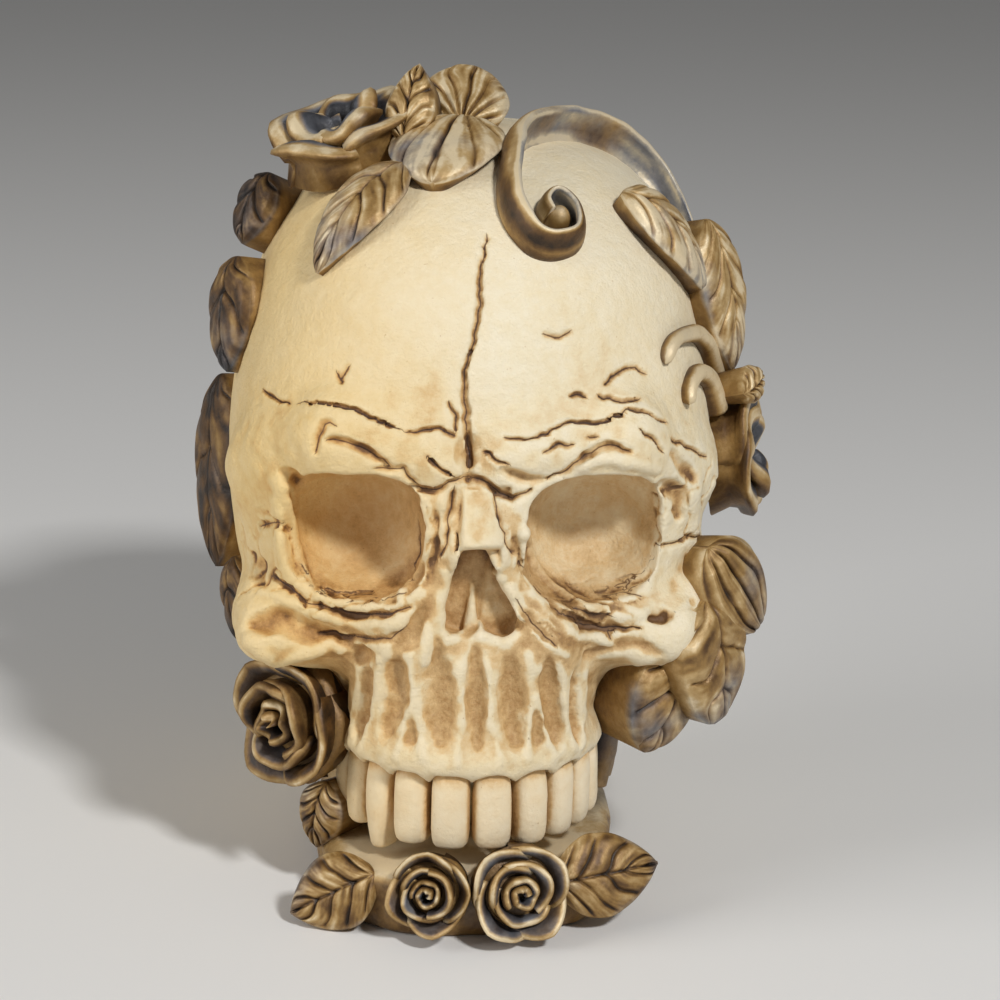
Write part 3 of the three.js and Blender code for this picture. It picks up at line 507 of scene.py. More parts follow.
class Carving:
    """The skull's field on a grid that is finest over the face."""

    def __init__(self, axes):
        self.axes = axes
        self.x = axes[0][:, None, None]
        self.y = axes[1][None, :, None]
        self.z = axes[2][None, None, :]
        self.field = skin_field(self.x, self.y, self.z).astype(np.float32)

    def change(self, low, high, edit):
        """Hands the part of the grid inside a box to edit, and keeps what it gives back."""
        part = tuple(
            slice(max(0, np.searchsorted(axis, a) - 1), np.searchsorted(axis, b) + 1)
            for axis, a, b in zip(self.axes, low, high)
        )
        near = (self.x[part[0]], self.y[:, part[1]], self.z[:, :, part[2]])
        self.field[part] = edit(self.field[part], *near)

    def tube(self, route, radii, softness, join, taper=0.0):
        """Melts a tube along a route into the skull, or carves it out, thinner at both ends."""
        reach = max(radii) + 2 * softness + TUBE_MARGIN
        share = np.linspace(0, 1, len(route))
        thinner = taper * np.abs(2 * share - 1) ** TAPER_POWER
        sizes = (radii[0] + (radii[1] - radii[0]) * share) * (1 - thinner)

        def edit(field, x, y, z):
            return join(field, tube_field(x, y, z, route, sizes), softness)

        self.change(route.min(0) - reach, route.max(0) + reach, edit)

    def depth_at(self, points):
        """The field between the nodes of the grid."""
        cells, parts = [], []
        for axis, values in zip(self.axes, np.moveaxis(points, -1, 0)):
            cell = np.clip(np.searchsorted(axis, values) - 1, 0, len(axis) - 2)
            cells.append(cell)
            parts.append(np.clip((values - axis[cell]) / (axis[cell + 1] - axis[cell]), 0, 1))
        total = np.zeros(points.shape[:-1])
        for corner in np.ndindex(2, 2, 2):
            weight = np.prod([part if ahead else 1 - part for part, ahead in zip(parts, corner)], axis=0)
            total += weight * self.field[tuple(cell + ahead for cell, ahead in zip(cells, corner))]
        return total

    def route(self, pixels, step, lift, jitter):
        """A route over what is carved so far, under the drawn pixels, lifted and shaken."""
        drawn = resample(np.array(pixels, float), step * PIXELS_PER_MM)
        points = on_skin(drawn + random.normal(0, 1, drawn.shape) * jitter * PIXELS_PER_MM, self.depth_at)
        return points + skin_normal(points) * lift

    def raise_marks(self, marks, softness):
        """Melts each mark into the skull."""
        for pixels, first, last, proud in marks:
            route = self.route(pixels, MARK_STEP, proud - (first + last) / 2, MARK_JITTER)
            self.tube(route, (first, last), softness, melt)

    def cut_marks(self, marks, softness, step, jitter, taper=MARK_TAPER):
        """Carves each mark out of the skull, and gives back their routes."""
        routes = []
        for pixels, first, last, depth in marks:
            route = self.route(pixels, step, (first + last) / 2 - depth, jitter)
            self.tube(route, (first, last), softness, carve, taper)
            routes.append(route)
        return routes


ARCH_STEPS = 800


def arch_point(turn):
    return np.array([ARCH_HALF_WIDTH * math.sin(turn), ARCH_MIDDLE - ARCH_HALF_DEPTH * math.cos(turn)])


def arch_turn(distance):
    """The angle on the dental arch that lies a given distance along it from the middle."""
    turns = np.linspace(0, math.pi / 2, ARCH_STEPS)
    points = np.array([arch_point(turn) for turn in turns])
    return float(np.interp(distance, walked(points), turns))


def tooth_spans():
    """Where each tooth of one side starts along the dental arch, and its width."""
    start = TOOTH_GAP / 2
    for width in TOOTH_WIDTHS:
        yield start, width
        start += width + TOOTH_GAP


def tooth_places():
    """The name, width, middle and facing of each tooth."""
    places = []
    for number, (start, width) in enumerate(tooth_spans(), 1):
        turn = arch_turn(start + width / 2)
        for word, side in (("left", -1), ("right", 1)):
            at = arch_point(turn) * (side, 1)
            facing = side * math.atan2(math.sin(turn) / ARCH_HALF_WIDTH, math.cos(turn) / ARCH_HALF_DEPTH)
            places.append((f"{word}_{number}", width, at, facing))
    return places


TEETH = tooth_places()

# The grid: its ends, its steps and where it is finer
GRID_SIDE = 48.0
GRID_FRONT = -57.0
GRID_REAR = 69.0
GRID_FLOOR = 9.0
GRID_TOP = 139.0
FINE_STEP = 0.52
MIDDLE_BAND = 5.0
MIDDLE_STEP = 0.4
BROW_LOW = 80.0
BROW_HIGH = 97.0
BROW_STEP = 0.34
FACE_BACK = -20.0
COARSE_STEP = 2.0
FOREHEAD_TOP = 116.0
CROWN_STEP = 1.0


def in_stretches(end, *stretches):
    """Even steps over one stretch after another up to the end, each given by its start and its step."""
    ends = [start for start, _ in stretches[1:]] + [end]
    return np.concatenate([np.arange(start, stop, step) for (start, step), stop in zip(stretches, ends)])


def growing(start, end, first, last):
    """Steps that grow from first to last over the first half of the way from start to end."""
    steps = [start]
    while steps[-1] < end:
        share = (steps[-1] - start) / (end - start)
        steps.append(steps[-1] + first + (last - first) * min(1, 2 * share))
    return np.array(steps[1:])


def carve_maxilla(skull):
    """Raises the ridges of the roots over the teeth, and cuts the flutes between them."""
    ridges = [(pixels, ROOT_RADIUS, ROOT_RADIUS, ROOT_RISE) for pixels in ROOT_RIDGES]
    skull.raise_marks(ridges, RIM_SOFTNESS)
    skull.cut_marks(FLUTES, FLUTE_SOFTNESS, MARK_STEP, MARK_JITTER, FLUTE_TAPER)


def carve_sockets(skull):
    """Cuts each socket as a shallow rim with a round bowl behind it."""
    for side in (-1, 1):
        for radii, middle, squareness in (
            (SOCKET_RIM, SOCKET_RIM_MIDDLE, SOCKET_RIM_SQUARENESS),
            (SOCKET_BOWL, SOCKET_BOWL_MIDDLE, SOCKET_BOWL_SQUARENESS),
        ):
            at = np.array([side * EYE_SPACING / 2, middle, SOCKET_HEIGHT])

            def socket(field, x, y, z):
                return carve(field, lump_field(x, y, z, at, radii, squareness), SOCKET_SOFTNESS)

            reach = np.array(radii) + BOX_MARGIN
            skull.change(at - reach, at + reach, socket)


def carve_nasal_bone(skull):
    """Planes the bridge of the nose to an arched slab with sharp sides and a sharp lower edge."""
    top, low = on_skin(NASAL_BONE)
    length = np.linalg.norm(low - top)
    along = (low - top) / length
    aside = unit(np.cross(skin_normal(low), along))
    out = np.cross(along, aside)

    def slab(field, x, y, z):
        away = (x - top[0], y - top[1], z - top[2])
        across, down, proud = (sum(a * d for a, d in zip(away, axis)) for axis in (aside, along, out))
        narrow, broad = NASAL_HALF_WIDTHS
        beside = np.abs(across) - narrow - (broad - narrow) * down / length
        past = down - length
        crest = NASAL_PROUD - NASAL_DROP * np.minimum(1, (across / broad) ** 2)
        front = [crest - proud, beside - NASAL_MARGIN, -down, past - NASAL_MARGIN]
        bone = [beside, past, -down, proud - crest, -proud - NASAL_WALL]
        below = [-past, beside, -proud - NASAL_UNDERCUT, past - NASAL_MARGIN]
        field = carve(field, np.maximum.reduce(front), NASAL_SOFTNESS)
        field = melt(field, np.maximum.reduce(bone), NASAL_SOFTNESS)
        return carve(field, np.maximum.reduce(below), NASAL_SOFTNESS)

    reach = 2 * NASAL_WALL
    skull.change(np.minimum(top, low) - reach, np.maximum(top, low) + reach, slab)


def carve_nose(skull):
    """Cuts the two lobes of the nose opening, and puts the septum between them."""
    top = on_skin([NOSE_TOP])[0]
    for lobe in NOSE_LOBES:
        low = on_skin([lobe])[0]
        back = low[1] + NOSE_OPENING_DEPTH
        ends = np.array([top, low]) * (1, 0, 1)

        def opening(field, x, y, z):
            lobe_shape = tube_field(x, 0 * y, z, ends, (NOSE_TOP_RADIUS, NOSE_LOBE_RADIUS))
            return carve(field, np.maximum(lobe_shape, y - back), NOSE_SOFTNESS)

        first = ends.min(0) - NOSE_REACH
        last = ends.max(0) + NOSE_REACH
        first[1] = GRID_FRONT
        last[1] = back + BOX_MARGIN
        skull.change(first, last, opening)
    septum = on_skin(SEPTUM) + np.array([0, SEPTUM_BACK, 0])
    skull.tube(septum, SEPTUM_RADII, SEPTUM_SOFTNESS, melt)


def roll_gums(skull):
    """Rolls a gum round the tops of the teeth."""
    turns = np.linspace(-GUM_ROLL_TURN, GUM_ROLL_TURN, GUM_ROLL_STEPS)
    arch = np.array([(*arch_point(turn), GUM_LINE + GUM_ROLL_RISE) for turn in turns])
    out = unit(arch * (1, 1, 0) - np.array([0, ARCH_MIDDLE, 0]))
    skull.tube(arch + out * GUM_ROLL_OUT, (GUM_ROLL, GUM_ROLL), GUM_ROLL_SOFTNESS, melt)


def clear_gums(skull):
    """Clears the jaw in front of the teeth below a scalloped line."""

    def gums(field, x, y, z):
        angle = np.arctan2(np.abs(x) / ARCH_HALF_WIDTH, -(y - ARCH_MIDDLE) / ARCH_HALF_DEPTH)
        scallop = np.zeros(np.broadcast(x, y).shape)
        for start, width in tooth_spans():
            first, last = arch_turn(start), arch_turn(start + width)
            share = (2 * angle - first - last) / (last - first)
            scallop = np.maximum(scallop, np.clip(1 - share * share, 0, 1))
        line = GUM_LINE - GUM_SCALLOP / 2 + GUM_SCALLOP * np.sqrt(scallop)
        reach = np.hypot(x / ARCH_HALF_WIDTH, (y - ARCH_MIDDLE) / ARCH_HALF_DEPTH)
        outside = (1 - reach) * ARCH_HALF_WIDTH - GUM_LIP
        behind = (y - ARCH_MIDDLE) - GUM_CUT_BACK
        return carve(field, np.maximum(np.maximum(z - line, outside), behind), GUM_SOFTNESS)

    skull.change(*GUM_BOX, gums)


def cut_underside(skull):
    """Cuts the skull off flat over the foot, and drills the pour hole into it."""

    def cut(field, x, y, z):
        hole = np.maximum(np.hypot(x, y - POUR_HOLE_SETBACK) - POUR_HOLE / 2, z - POUR_HOLE_SHOWN)
        return np.maximum(np.maximum(field, UNDERSIDE - z), -hole)

    skull.change((-math.inf,) * 3, (math.inf, math.inf, POUR_HOLE_SHOWN + BOX_MARGIN), cut)


def carved_skull():
    face = np.arange(GRID_FRONT, FACE_BACK, FINE_STEP)
    skull = Carving((
        in_stretches(
            GRID_SIDE,
            (-GRID_SIDE, FINE_STEP),
            (-MIDDLE_BAND, MIDDLE_STEP),
            (MIDDLE_BAND, FINE_STEP),
        ),
        np.concatenate([face, growing(FACE_BACK, GRID_REAR, FINE_STEP, COARSE_STEP)]),
        in_stretches(
            GRID_TOP,
            (GRID_FLOOR, FINE_STEP),
            (BROW_LOW, BROW_STEP),
            (BROW_HIGH, FINE_STEP),
            (FOREHEAD_TOP, CROWN_STEP),
        ),
    ))
    skull.raise_marks(BULGES, BULGE_SOFTNESS)
    carve_sockets(skull)
    carve_nasal_bone(skull)
    carve_nose(skull)
    roll_gums(skull)
    carve_maxilla(skull)
    skull.cut_marks(HOLLOWS, HOLLOW_SOFTNESS, MARK_STEP, MARK_JITTER)
    skull.raise_marks(RIMS, RIM_SOFTNESS)
    skull.creases = skull.cut_marks(CREASES, CREASE_SOFTNESS, MARK_STEP, CRACK_JITTER)
    skull.cracks = skull.cut_marks(CRACKS, CRACK_SOFTNESS, CRACK_STEP, CRACK_JITTER)
    clear_gums(skull)
    cut_underside(skull)
    return skull


def surface_net(field, axes):
    """The zero surface of a field on a grid, as points and four-sided faces that look outwards."""
    inside = field < 0
    shape = [size - 1 for size in field.shape]
    crossings = []
    faces = []
    for axis in range(3):
        behind = tuple(slice(None, -1) if k == axis else slice(None) for k in range(3))
        ahead = tuple(slice(1, None) if k == axis else slice(None) for k in range(3))
        crossed = inside[behind] != inside[ahead]
        node = np.argwhere(crossed)
        first, last = field[behind][crossed], field[ahead][crossed]
        at = np.stack([axes[k][node[:, k]] for k in range(3)], -1)
        step = axes[axis][node[:, axis] + 1] - axes[axis][node[:, axis]]
        at[:, axis] += step * first / (first - last)
        ring = []
        for u, v in ((0, 0), (-1, 0), (-1, -1), (0, -1)):
            cell = node.copy()
            cell[:, (axis + 1) % 3] += u
            cell[:, (axis + 2) % 3] += v
            ring.append(np.ravel_multi_index(cell.T, shape))
        ring = np.stack(ring, -1)
        crossings.extend((ring[:, corner], at) for corner in range(4))
        faces.append(np.where((first < 0)[:, None], ring, ring[:, ::-1]))
    cells = np.concatenate([cell for cell, _ in crossings])
    places = np.concatenate([at for _, at in crossings])
    used, index = np.unique(cells, return_inverse=True)
    count = np.bincount(index)
    points = np.stack([np.bincount(index, places[:, axis]) / count for axis in range(3)], -1)
    return points, np.searchsorted(used, np.concatenate(faces))


def neighbour_mean(values, faces):
    """The mean of the values at the neighbours of each point."""
    total = np.zeros_like(values)
    count = np.zeros(len(values))
    for corner in range(faces.shape[1]):
        a, b = faces[:, corner], faces[:, (corner + 1) % faces.shape[1]]
        for here, there in ((a, b), (b, a)):
            count += np.bincount(here, minlength=len(values))
            for axis in range(values.shape[1]):
                total[:, axis] += np.bincount(here, values[there, axis], minlength=len(values))
    return total / count[:, None]


def mesh_normals(points, faces):
    """The outward direction at each point, from the faces round it."""
    across = points[faces[:, 2]] - points[faces[:, 0]]
    other = points[faces[:, 3]] - points[faces[:, 1]]
    face = np.cross(across, other)
    total = np.zeros_like(points)
    for corner in range(4):
        for axis in range(3):
            total[:, axis] += np.bincount(faces[:, corner], face[:, axis], minlength=len(points))
    return unit(total)


# Pieces


def add_piece(name, points, faces, attributes, material, node):
    """Adds a mesh with paint on its points, in place of a node of the CAD."""
    mesh = bpy.data.meshes.new(name)
    mesh.from_pydata((points * MM).tolist(), [], faces)
    mesh.update()
    for attribute, values in attributes.items():
        layer = mesh.attributes.new(attribute, "FLOAT", "POINT")
        layer.data.foreach_set("value", np.ravel(values).astype(np.float32))
    mesh.shade_smooth()
    mesh.materials.append(material)
    piece = bpy.data.objects.new(name, mesh)
    bpy.context.scene.collection.objects.link(piece)
    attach(piece, "root")
    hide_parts(node)
    return piece


def loft(loops, capped=True):
    """Closed rings of points joined into a skin, with its two ends capped, that looks outwards."""
    count, around = loops.shape[:2]
    points = loops.reshape(-1, 3)
    faces = []
    for ring in range(count - 1):
        for j in range(around):
            near = ring * around + j
            beside = ring * around + (j + 1) % around
            faces.append((near, beside, beside + around, near + around))
    if capped:
        faces.append(tuple(range(around - 1, -1, -1)))
        faces.append(tuple(range((count - 1) * around, count * around)))
    volume = sum(np.dot(points[f[0]], np.cross(points[f[1]], points[f[2]])) for f in faces)
    volume += sum(np.dot(points[f[0]], np.cross(points[f[2]], points[f[3]])) for f in faces if len(f) == 4)
    if volume < 0:
        faces = [face[::-1] for face in faces]
    return points, faces


def joined(shells):
    """Several skins as one: points, faces, and the paint's rub and coolness on each point; the coolness is
    partly painted shade.
    """
    points, faces, rub, cool = [], [], [], []
    start = 0
    for shell_points, shell_faces, shell_rub, shell_cool in shells:
        points.append(shell_points)
        faces.extend(tuple(index + start for index in face) for face in shell_faces)
        rub.append(np.ravel(shell_rub))
        cool.append(np.ravel(shell_cool))
        start += len(shell_points)
    return np.concatenate(points), faces, np.concatenate(rub), np.concatenate(cool)


# Materials

WHITE = (1, 1, 1)
BLACK = (0, 0, 0)
# The sockets of a colour mix
MIX_FIRST = 6
MIX_SECOND = 7
MIX_RESULT = 2
RAMP_MIDDLE = 0.5
# The part of a noise over which the roughness runs from one end to the other
GLOSS_SPAN = (0.3, 0.7)


def node_of(tree, kind):
    return next(node for node in tree.nodes if node.type == kind)


class Shader:
    """A material of procedural nodes."""

    def __init__(self, name):
        self.material = bpy.data.materials.new(name)
        self.material.use_nodes = True
        self.tree = self.material.node_tree
        self.surface = node_of(self.tree, "BSDF_PRINCIPLED")
        self.place = self.add("ShaderNodeTexCoord").outputs["Object"]

    def add(self, kind, **settings):
        node = self.tree.nodes.new(kind)
        for name, value in settings.items():
            setattr(node, name, value)
        return node

    def link(self, source, target):
        self.tree.links.new(source, target)

    def noise(self, scale, detail, roughness):
        node = self.add("ShaderNodeTexNoise")
        node.inputs["Scale"].default_value = scale
        node.inputs["Detail"].default_value = detail
        node.inputs["Roughness"].default_value = roughness
        self.link(self.place, node.inputs["Vector"])
        return node.outputs["Fac"]

    def attribute(self, name):
        return self.add("ShaderNodeAttribute", attribute_name=name).outputs["Fac"]

    def arithmetic(self, operation, *values):
        """The outcome of an operation on sockets and plain numbers."""
        node = self.add("ShaderNodeMath", operation=operation)
        for socket, value in zip(node.inputs, values):
            if isinstance(value, bpy.types.NodeSocket):
                self.link(value, socket)
            else:
                socket.default_value = value
        return node.outputs[0]

    def sum(self, value, factor, base):
        """value times factor, plus base."""
        return self.arithmetic("MULTIPLY_ADD", value, factor, base)

    def product(self, first, second):
        return self.arithmetic("MULTIPLY", first, second)

    def size(self, value):
        return self.arithmetic("ABSOLUTE", value)

    def ramp(self, value, stops):
        node = self.add("ShaderNodeValToRGB")
        elements = node.color_ramp.elements
        while len(elements) < len(stops):
            elements.new(RAMP_MIDDLE)
        for element, (position, colour) in zip(elements, stops):
            element.position = position
            element.color = (*colour, 1)
        self.link(value, node.inputs["Fac"])
        return node.outputs["Color"]

    def blend(self, kind, first, second):
        node = self.add("ShaderNodeMix", data_type="RGBA", blend_type=kind)
        self.link(first, node.inputs[MIX_FIRST])
        self.link(second, node.inputs[MIX_SECOND])
        return node

    def mix(self, factor, first, second):
        node = self.blend("MIX", first, second)
        self.link(factor, node.inputs["Factor"])
        return node.outputs[MIX_RESULT]

    def multiply(self, first, second, amount):
        node = self.blend("MULTIPLY", first, second)
        node.inputs["Factor"].default_value = amount
        return node.outputs[MIX_RESULT]

    def bump(self, value, strength, distance):
        node = self.add("ShaderNodeBump")
        node.inputs["Strength"].default_value = strength
        node.inputs["Distance"].default_value = distance
        self.link(value, node.inputs["Height"])
        self.link(node.outputs["Normal"], self.surface.inputs["Normal"])

    def finish(self, colour, noise, gloss, metallic):
        """Sets the colour, the metal and a roughness that runs between the two given, after a noise."""
        self.link(colour, self.surface.inputs["Base Color"])
        stops = [(position, (rough,) * 3) for position, rough in zip(GLOSS_SPAN, gloss)]
        self.link(self.ramp(noise, stops), self.surface.inputs["Roughness"])
        self.surface.inputs["Metallic"].default_value = metallic
        return self.material


# The noises of the bone: scale, detail and roughness
BONE_MOTTLE = (60, 5, 0.6)
BONE_GRAIN = (520, 6, 0.7)
BONE_FLECKS = (1050, 8, 0.8)
BONE_AGE = (24, 3, 0.5)
BONE_DOTS = (1500, 2, 0.5)
BONE_PITS = (1400, 4, 0.6)
CRACK_EDGE = (900, 3, 0.6)
# How the noises and the wash of each point add up
GRAIN_WASH = 0.32
MOTTLE_WASH = 0.20
FLECK_WASH = 1.1
EVEN_WASH = -0.5
AGE_PATCHES = 0.6
CRACK_RAGGED = 0.2
PIT_SHARE = 0.5
# Colours that the bone is multiplied by (the yellowing is partly painted warm light, which tints the left of
# the head), and how its surface takes the light
YELLOWING_AND_WARM_LIGHT = ((0.28, WHITE), (0.95, (0.98, 0.80, 0.47)))
DOT_STOPS = ((0.71, WHITE), (0.78, (0.68, 0.55, 0.40)))
DOT_STRENGTH = 0.7
CRACK_LINE = ((0.14, WHITE), (0.30, BLACK))
CRACK_TINT = ((0.0, WHITE), (1.0, (0.20, 0.13, 0.08)))
BONE_BUMP = 0.0009
BONE_GLOSS = (0.42, 0.60)


def bone_material(name, stops, relief):
    """Cream paint under a brown wash, which the wash on each point and a grain share out."""
    shader = Shader(name)
    mottle = shader.noise(*BONE_MOTTLE)
    grain = shader.noise(*BONE_GRAIN)
    wash = shader.attribute("wash")
    flecks = shader.product(shader.noise(*BONE_FLECKS), wash)
    washed = shader.sum(grain, GRAIN_WASH, wash)
    washed = shader.sum(mottle, MOTTLE_WASH, washed)
    washed = shader.sum(flecks, FLECK_WASH, washed)
    washed = shader.sum(wash, EVEN_WASH, washed)
    colour = shader.ramp(washed, stops)
    # The 'aged' attribute is painted warm light, a yellow tint towards the left of the head; the noise on it
    # adds real patches of yellowing
    aged = shader.sum(shader.noise(*BONE_AGE), AGE_PATCHES, shader.attribute("aged"))
    colour = shader.multiply(colour, shader.ramp(aged, YELLOWING_AND_WARM_LIGHT), 1.0)
    dots = shader.ramp(shader.noise(*BONE_DOTS), DOT_STOPS)
    colour = shader.multiply(colour, dots, DOT_STRENGTH)
    aside = shader.sum(shader.noise(*CRACK_EDGE), CRACK_RAGGED, shader.size(shader.attribute("aside")))
    line = shader.product(shader.ramp(aside, CRACK_LINE), shader.attribute("beside"))
    colour = shader.multiply(colour, shader.ramp(line, CRACK_TINT), 1.0)
    shader.bump(shader.sum(shader.noise(*BONE_PITS), PIT_SHARE, grain), relief, BONE_BUMP)
    return shader.finish(colour, mottle, BONE_GLOSS, 0.0)


# The noises of the bronze, and how they and the rub and coolness of each point add up
BRONZE_PATCHES = (130, 4, 0.6)
BRONZE_GRAIN = (700, 6, 0.7)
BRONZE_TINT = (70, 4, 0.55)
GRAIN_RUB = 0.36
PATCH_RUB = 0.40
TINT_PATCHES = 0.9
TINT_STOPS = ((0.56, BLACK), (0.80, WHITE))
BRONZE_RELIEF = 0.35
BRONZE_BUMP = 0.0006
BRONZE_GLOSS = (0.36, 0.54)
BRONZE_METAL = 0.25


def bronze_material(name, warm_stops, cool_stops):
    """Bronze paint, dark in the recesses and rubbed pale on what stands proud, turning blue-grey where the
    coolness and a noise are high: painted shade and painted cool reflection, with some patches at random.
    """
    shader = Shader(name)
    patches = shader.noise(*BRONZE_PATCHES)
    grain = shader.noise(*BRONZE_GRAIN)
    worn = shader.sum(grain, GRAIN_RUB, shader.attribute("rub"))
    worn = shader.sum(patches, PATCH_RUB, worn)
    warm = shader.ramp(worn, warm_stops)
    cool = shader.ramp(worn, cool_stops)
    tinted = shader.sum(shader.noise(*BRONZE_TINT), TINT_PATCHES, shader.attribute("cool"))
    tint = shader.ramp(tinted, TINT_STOPS)
    shader.bump(grain, BRONZE_RELIEF, BRONZE_BUMP)
    return shader.finish(shader.mix(tint, warm, cool), patches, BRONZE_GLOSS, BRONZE_METAL)


# Colours from no wash to all of it, or from dark recesses to rubbed edges
BONE_STOPS = (
    (0.22, (0.84, 0.75, 0.56)),
    (0.36, (0.80, 0.68, 0.45)),
    (0.52, (0.69, 0.49, 0.25)),
    (0.70, (0.44, 0.26, 0.10)),
    (0.92, (0.16, 0.08, 0.03)),
)
IVORY_STOPS = (
    (0.22, (0.86, 0.76, 0.57)),
    (0.38, (0.82, 0.68, 0.46)),
    (0.55, (0.66, 0.46, 0.23)),
    (0.75, (0.42, 0.25, 0.10)),
    (0.95, (0.16, 0.08, 0.03)),
)
WARM_STOPS = (
    (0.22, (0.024, 0.013, 0.006)),
    (0.45, (0.125, 0.062, 0.018)),
    (0.66, (0.31, 0.18, 0.055)),
    (0.84, (0.50, 0.34, 0.15)),
    (1.0, (0.74, 0.60, 0.38)),
)
# The blue-grey colours of the painted shade and painted cool reflection
COOL_STOPS = (
    (0.22, (0.020, 0.020, 0.023)),
    (0.48, (0.075, 0.078, 0.090)),
    (0.74, (0.21, 0.21, 0.225)),
    (0.92, (0.42, 0.38, 0.31)),
    (1.0, (0.64, 0.55, 0.40)),
)
BONE_RELIEF = 0.5
IVORY_RELIEF = 0.3
# The bronze with painted shade, for the stems in the shadow between the cheek and the leaves, goes without
# the palest colour
DARK_COUNT = 4
BONE = bone_material("aged_ivory_bone", BONE_STOPS, BONE_RELIEF)
IVORY = bone_material("aged_ivory_teeth", IVORY_STOPS, IVORY_RELIEF)
BRONZE = bronze_material("bronze_paint", WARM_STOPS, COOL_STOPS)
SHADED_BRONZE = bronze_material("painted_shade_bronze", WARM_STOPS[:DARK_COUNT], COOL_STOPS[:DARK_COUNT])


# The skull itself

SKULL_SHARE = 0.53
# The face ends over these depths and heights
FACE_DEPTHS = (-12, -30)
FACE_HEIGHTS = (100, 88)
# The uneven casting: weight, width of the bumps and seed
CASTING = ((0.14, 11.0, 3), (0.07, 3.2, 4), (0.05, 1.4, 5))
FACE_CASTING = ((0.30, 5.5, 8), (0.20, 2.2, 9))
# Painted warm light: how much yellower the left of the head is painted, and the sideways span over which it
# comes in
WARM_LIGHT_MOST = 0.55
WARM_LIGHT_ACROSS = (14, -40)
# The chips round the sockets
CHIP_DEPTH = 0.32
CHIP_INK = 0.12
CHIP_LOW = (52, 56)
CHIP_HIGH = (84, 78)
CHIP_INNER = (6, 8)
CHIP_FLOOR = (3.0, 2.0)
CHIP_PATCHES = (9.0, 12)
CHIP_PATCH_EDGE = (-0.25, 0.15)
CHIP_WANDER = ((1, 5.0, 13), (0.5, 2.3, 14))
CHIP_VALLEY = (0.16, 0.02)
# The ink in the cracks
CRACK_NEAR = 0.36
CRACK_FAR = 0.78
CRACK_INK = 0.14
SEAM_REACH = 1.2
SEAM_FAR = 0.60
SEAM_NEAR = 0.36
# The wash in hollows and off ridges: times the skin is blurred to find them, weight and span
FINE_BLUR = 5
MIDDLE_BLUR = 26
BROAD_BLUR = 90
HOLLOW_WASH = (
    (FINE_BLUR, 0.34, (0.05, 0.36)),
    (FINE_BLUR, -0.26, (-0.03, -0.25)),
    (MIDDLE_BLUR, 0.24, (0.05, 0.8)),
    (MIDDLE_BLUR, -0.18, (-0.05, -0.5)),
    (BROAD_BLUR, 0.10, (0.2, 1.5)),
)
# The wash elsewhere: amounts, and the depths, heights and widths over which they come in
DEEP_WASH = 0.16
DEEP_DEPTHS = (1.0, 5.0)
FACE_WASH = 0.10
FACE_WASH_GRAIN = ((0.09, 4.0, 6), (0.07, 1.3, 7))
MIDFACE_WASH = 0.12
MIDFACE_HEIGHTS = (84, 66)
MIDFACE_SIDES = (36, 22)
GUM_WASH = 0.6
GUM_WASH_HEIGHTS = (GUM_LINE + 2, GUM_LINE + 9)
CUT_WASH = 0.26
CUT_DEPTHS = (1.2, 2.6)
JAW_WASH = 0.36
JAW_HEIGHTS = (54, 48)
NOSE_HEIGHTS = (68, 62)
NOSE_SIDES = (16, 11)
BOWL_WASH = 0.20
BOWL_GRAIN = ((0.07, 5.0, 10),)
BOWL_EDGE = (1.1, 0.94)
BOWL_DEPTHS = (2.0, 4.5)
STAIN_GRAIN = (2.4, 11)


def warm_light_from_left(points):
    """Painted warm light: the left of the head is tinted yellower than the right, as a warm lamp from the
    left would light it.
    """
    return WARM_LIGHT_MOST * smoothstep(*WARM_LIGHT_ACROSS, points[:, 0])


def hollowness(points, faces, normals):
    """How far each point lies below the surface, blurred as often as each of the three blurs says."""
    found = {}
    blurred = points
    for count in range(1, BROAD_BLUR + 1):
        blurred = neighbour_mean(blurred, faces)
        if count in (FINE_BLUR, MIDDLE_BLUR, BROAD_BLUR):
            found[count] = np.sum((blurred - points) * normals, axis=1)
    return found


def near_routes(points, routes):
    """How closely each point lies to a route, from 0 to 1."""
    nearest = np.full(len(points), CRACK_FAR)
    for route in routes:
        beside = (points > route.min(0) - CRACK_FAR) & (points < route.max(0) + CRACK_FAR)
        here = np.all(beside, axis=1)
        found = tube_field(*points[here].T, route, np.zeros(len(route)))
        nearest[here] = np.minimum(nearest[here], found)
    return smoothstep(CRACK_FAR, CRACK_NEAR, nearest)


def across_cracks(points, routes):
    """The signed distance of each point across the nearest crack, and how near it lies, from 0 to 1."""
    aside = np.full(len(points), SEAM_REACH)
    nearest = np.full(len(points), SEAM_REACH)
    for route in routes:
        outward = skin_normal((route[:-1] + route[1:]) / 2)
        for start, end, out in zip(route[:-1], route[1:], outward):
            low = np.minimum(start, end) - SEAM_REACH
            high = np.maximum(start, end) + SEAM_REACH
            here = np.flatnonzero(np.all((points > low) & (points < high), axis=1))
            along = end - start
            away = points[here] - start
            share = np.clip(away @ along / (along @ along), 0, 1)
            away = away - share[:, None] * along
            away = away - (away @ out)[:, None] * out
            far = np.linalg.norm(away, axis=1)
            side = np.sign(np.cross(along, away) @ out)
            closer = far < nearest[here]
            nearest[here[closer]] = far[closer]
            aside[here[closer]] = (side * far)[closer]
    return aside, smoothstep(SEAM_FAR, SEAM_NEAR, nearest)


def chipped(points, face, depth):
    """Thin wandering valleys round the sockets, from 0 to 1."""
    height = points[:, 2]
    region = face * smoothstep(*CHIP_LOW, height) * smoothstep(*CHIP_HIGH, height)
    region = region * smoothstep(*CHIP_INNER, np.abs(points[:, 0])) * smoothstep(*CHIP_FLOOR, depth)
    region = region * smoothstep(*CHIP_PATCH_EDGE, noise(points, *CHIP_PATCHES))
    return region * smoothstep(*CHIP_VALLEY, np.abs(layered(points, CHIP_WANDER)))


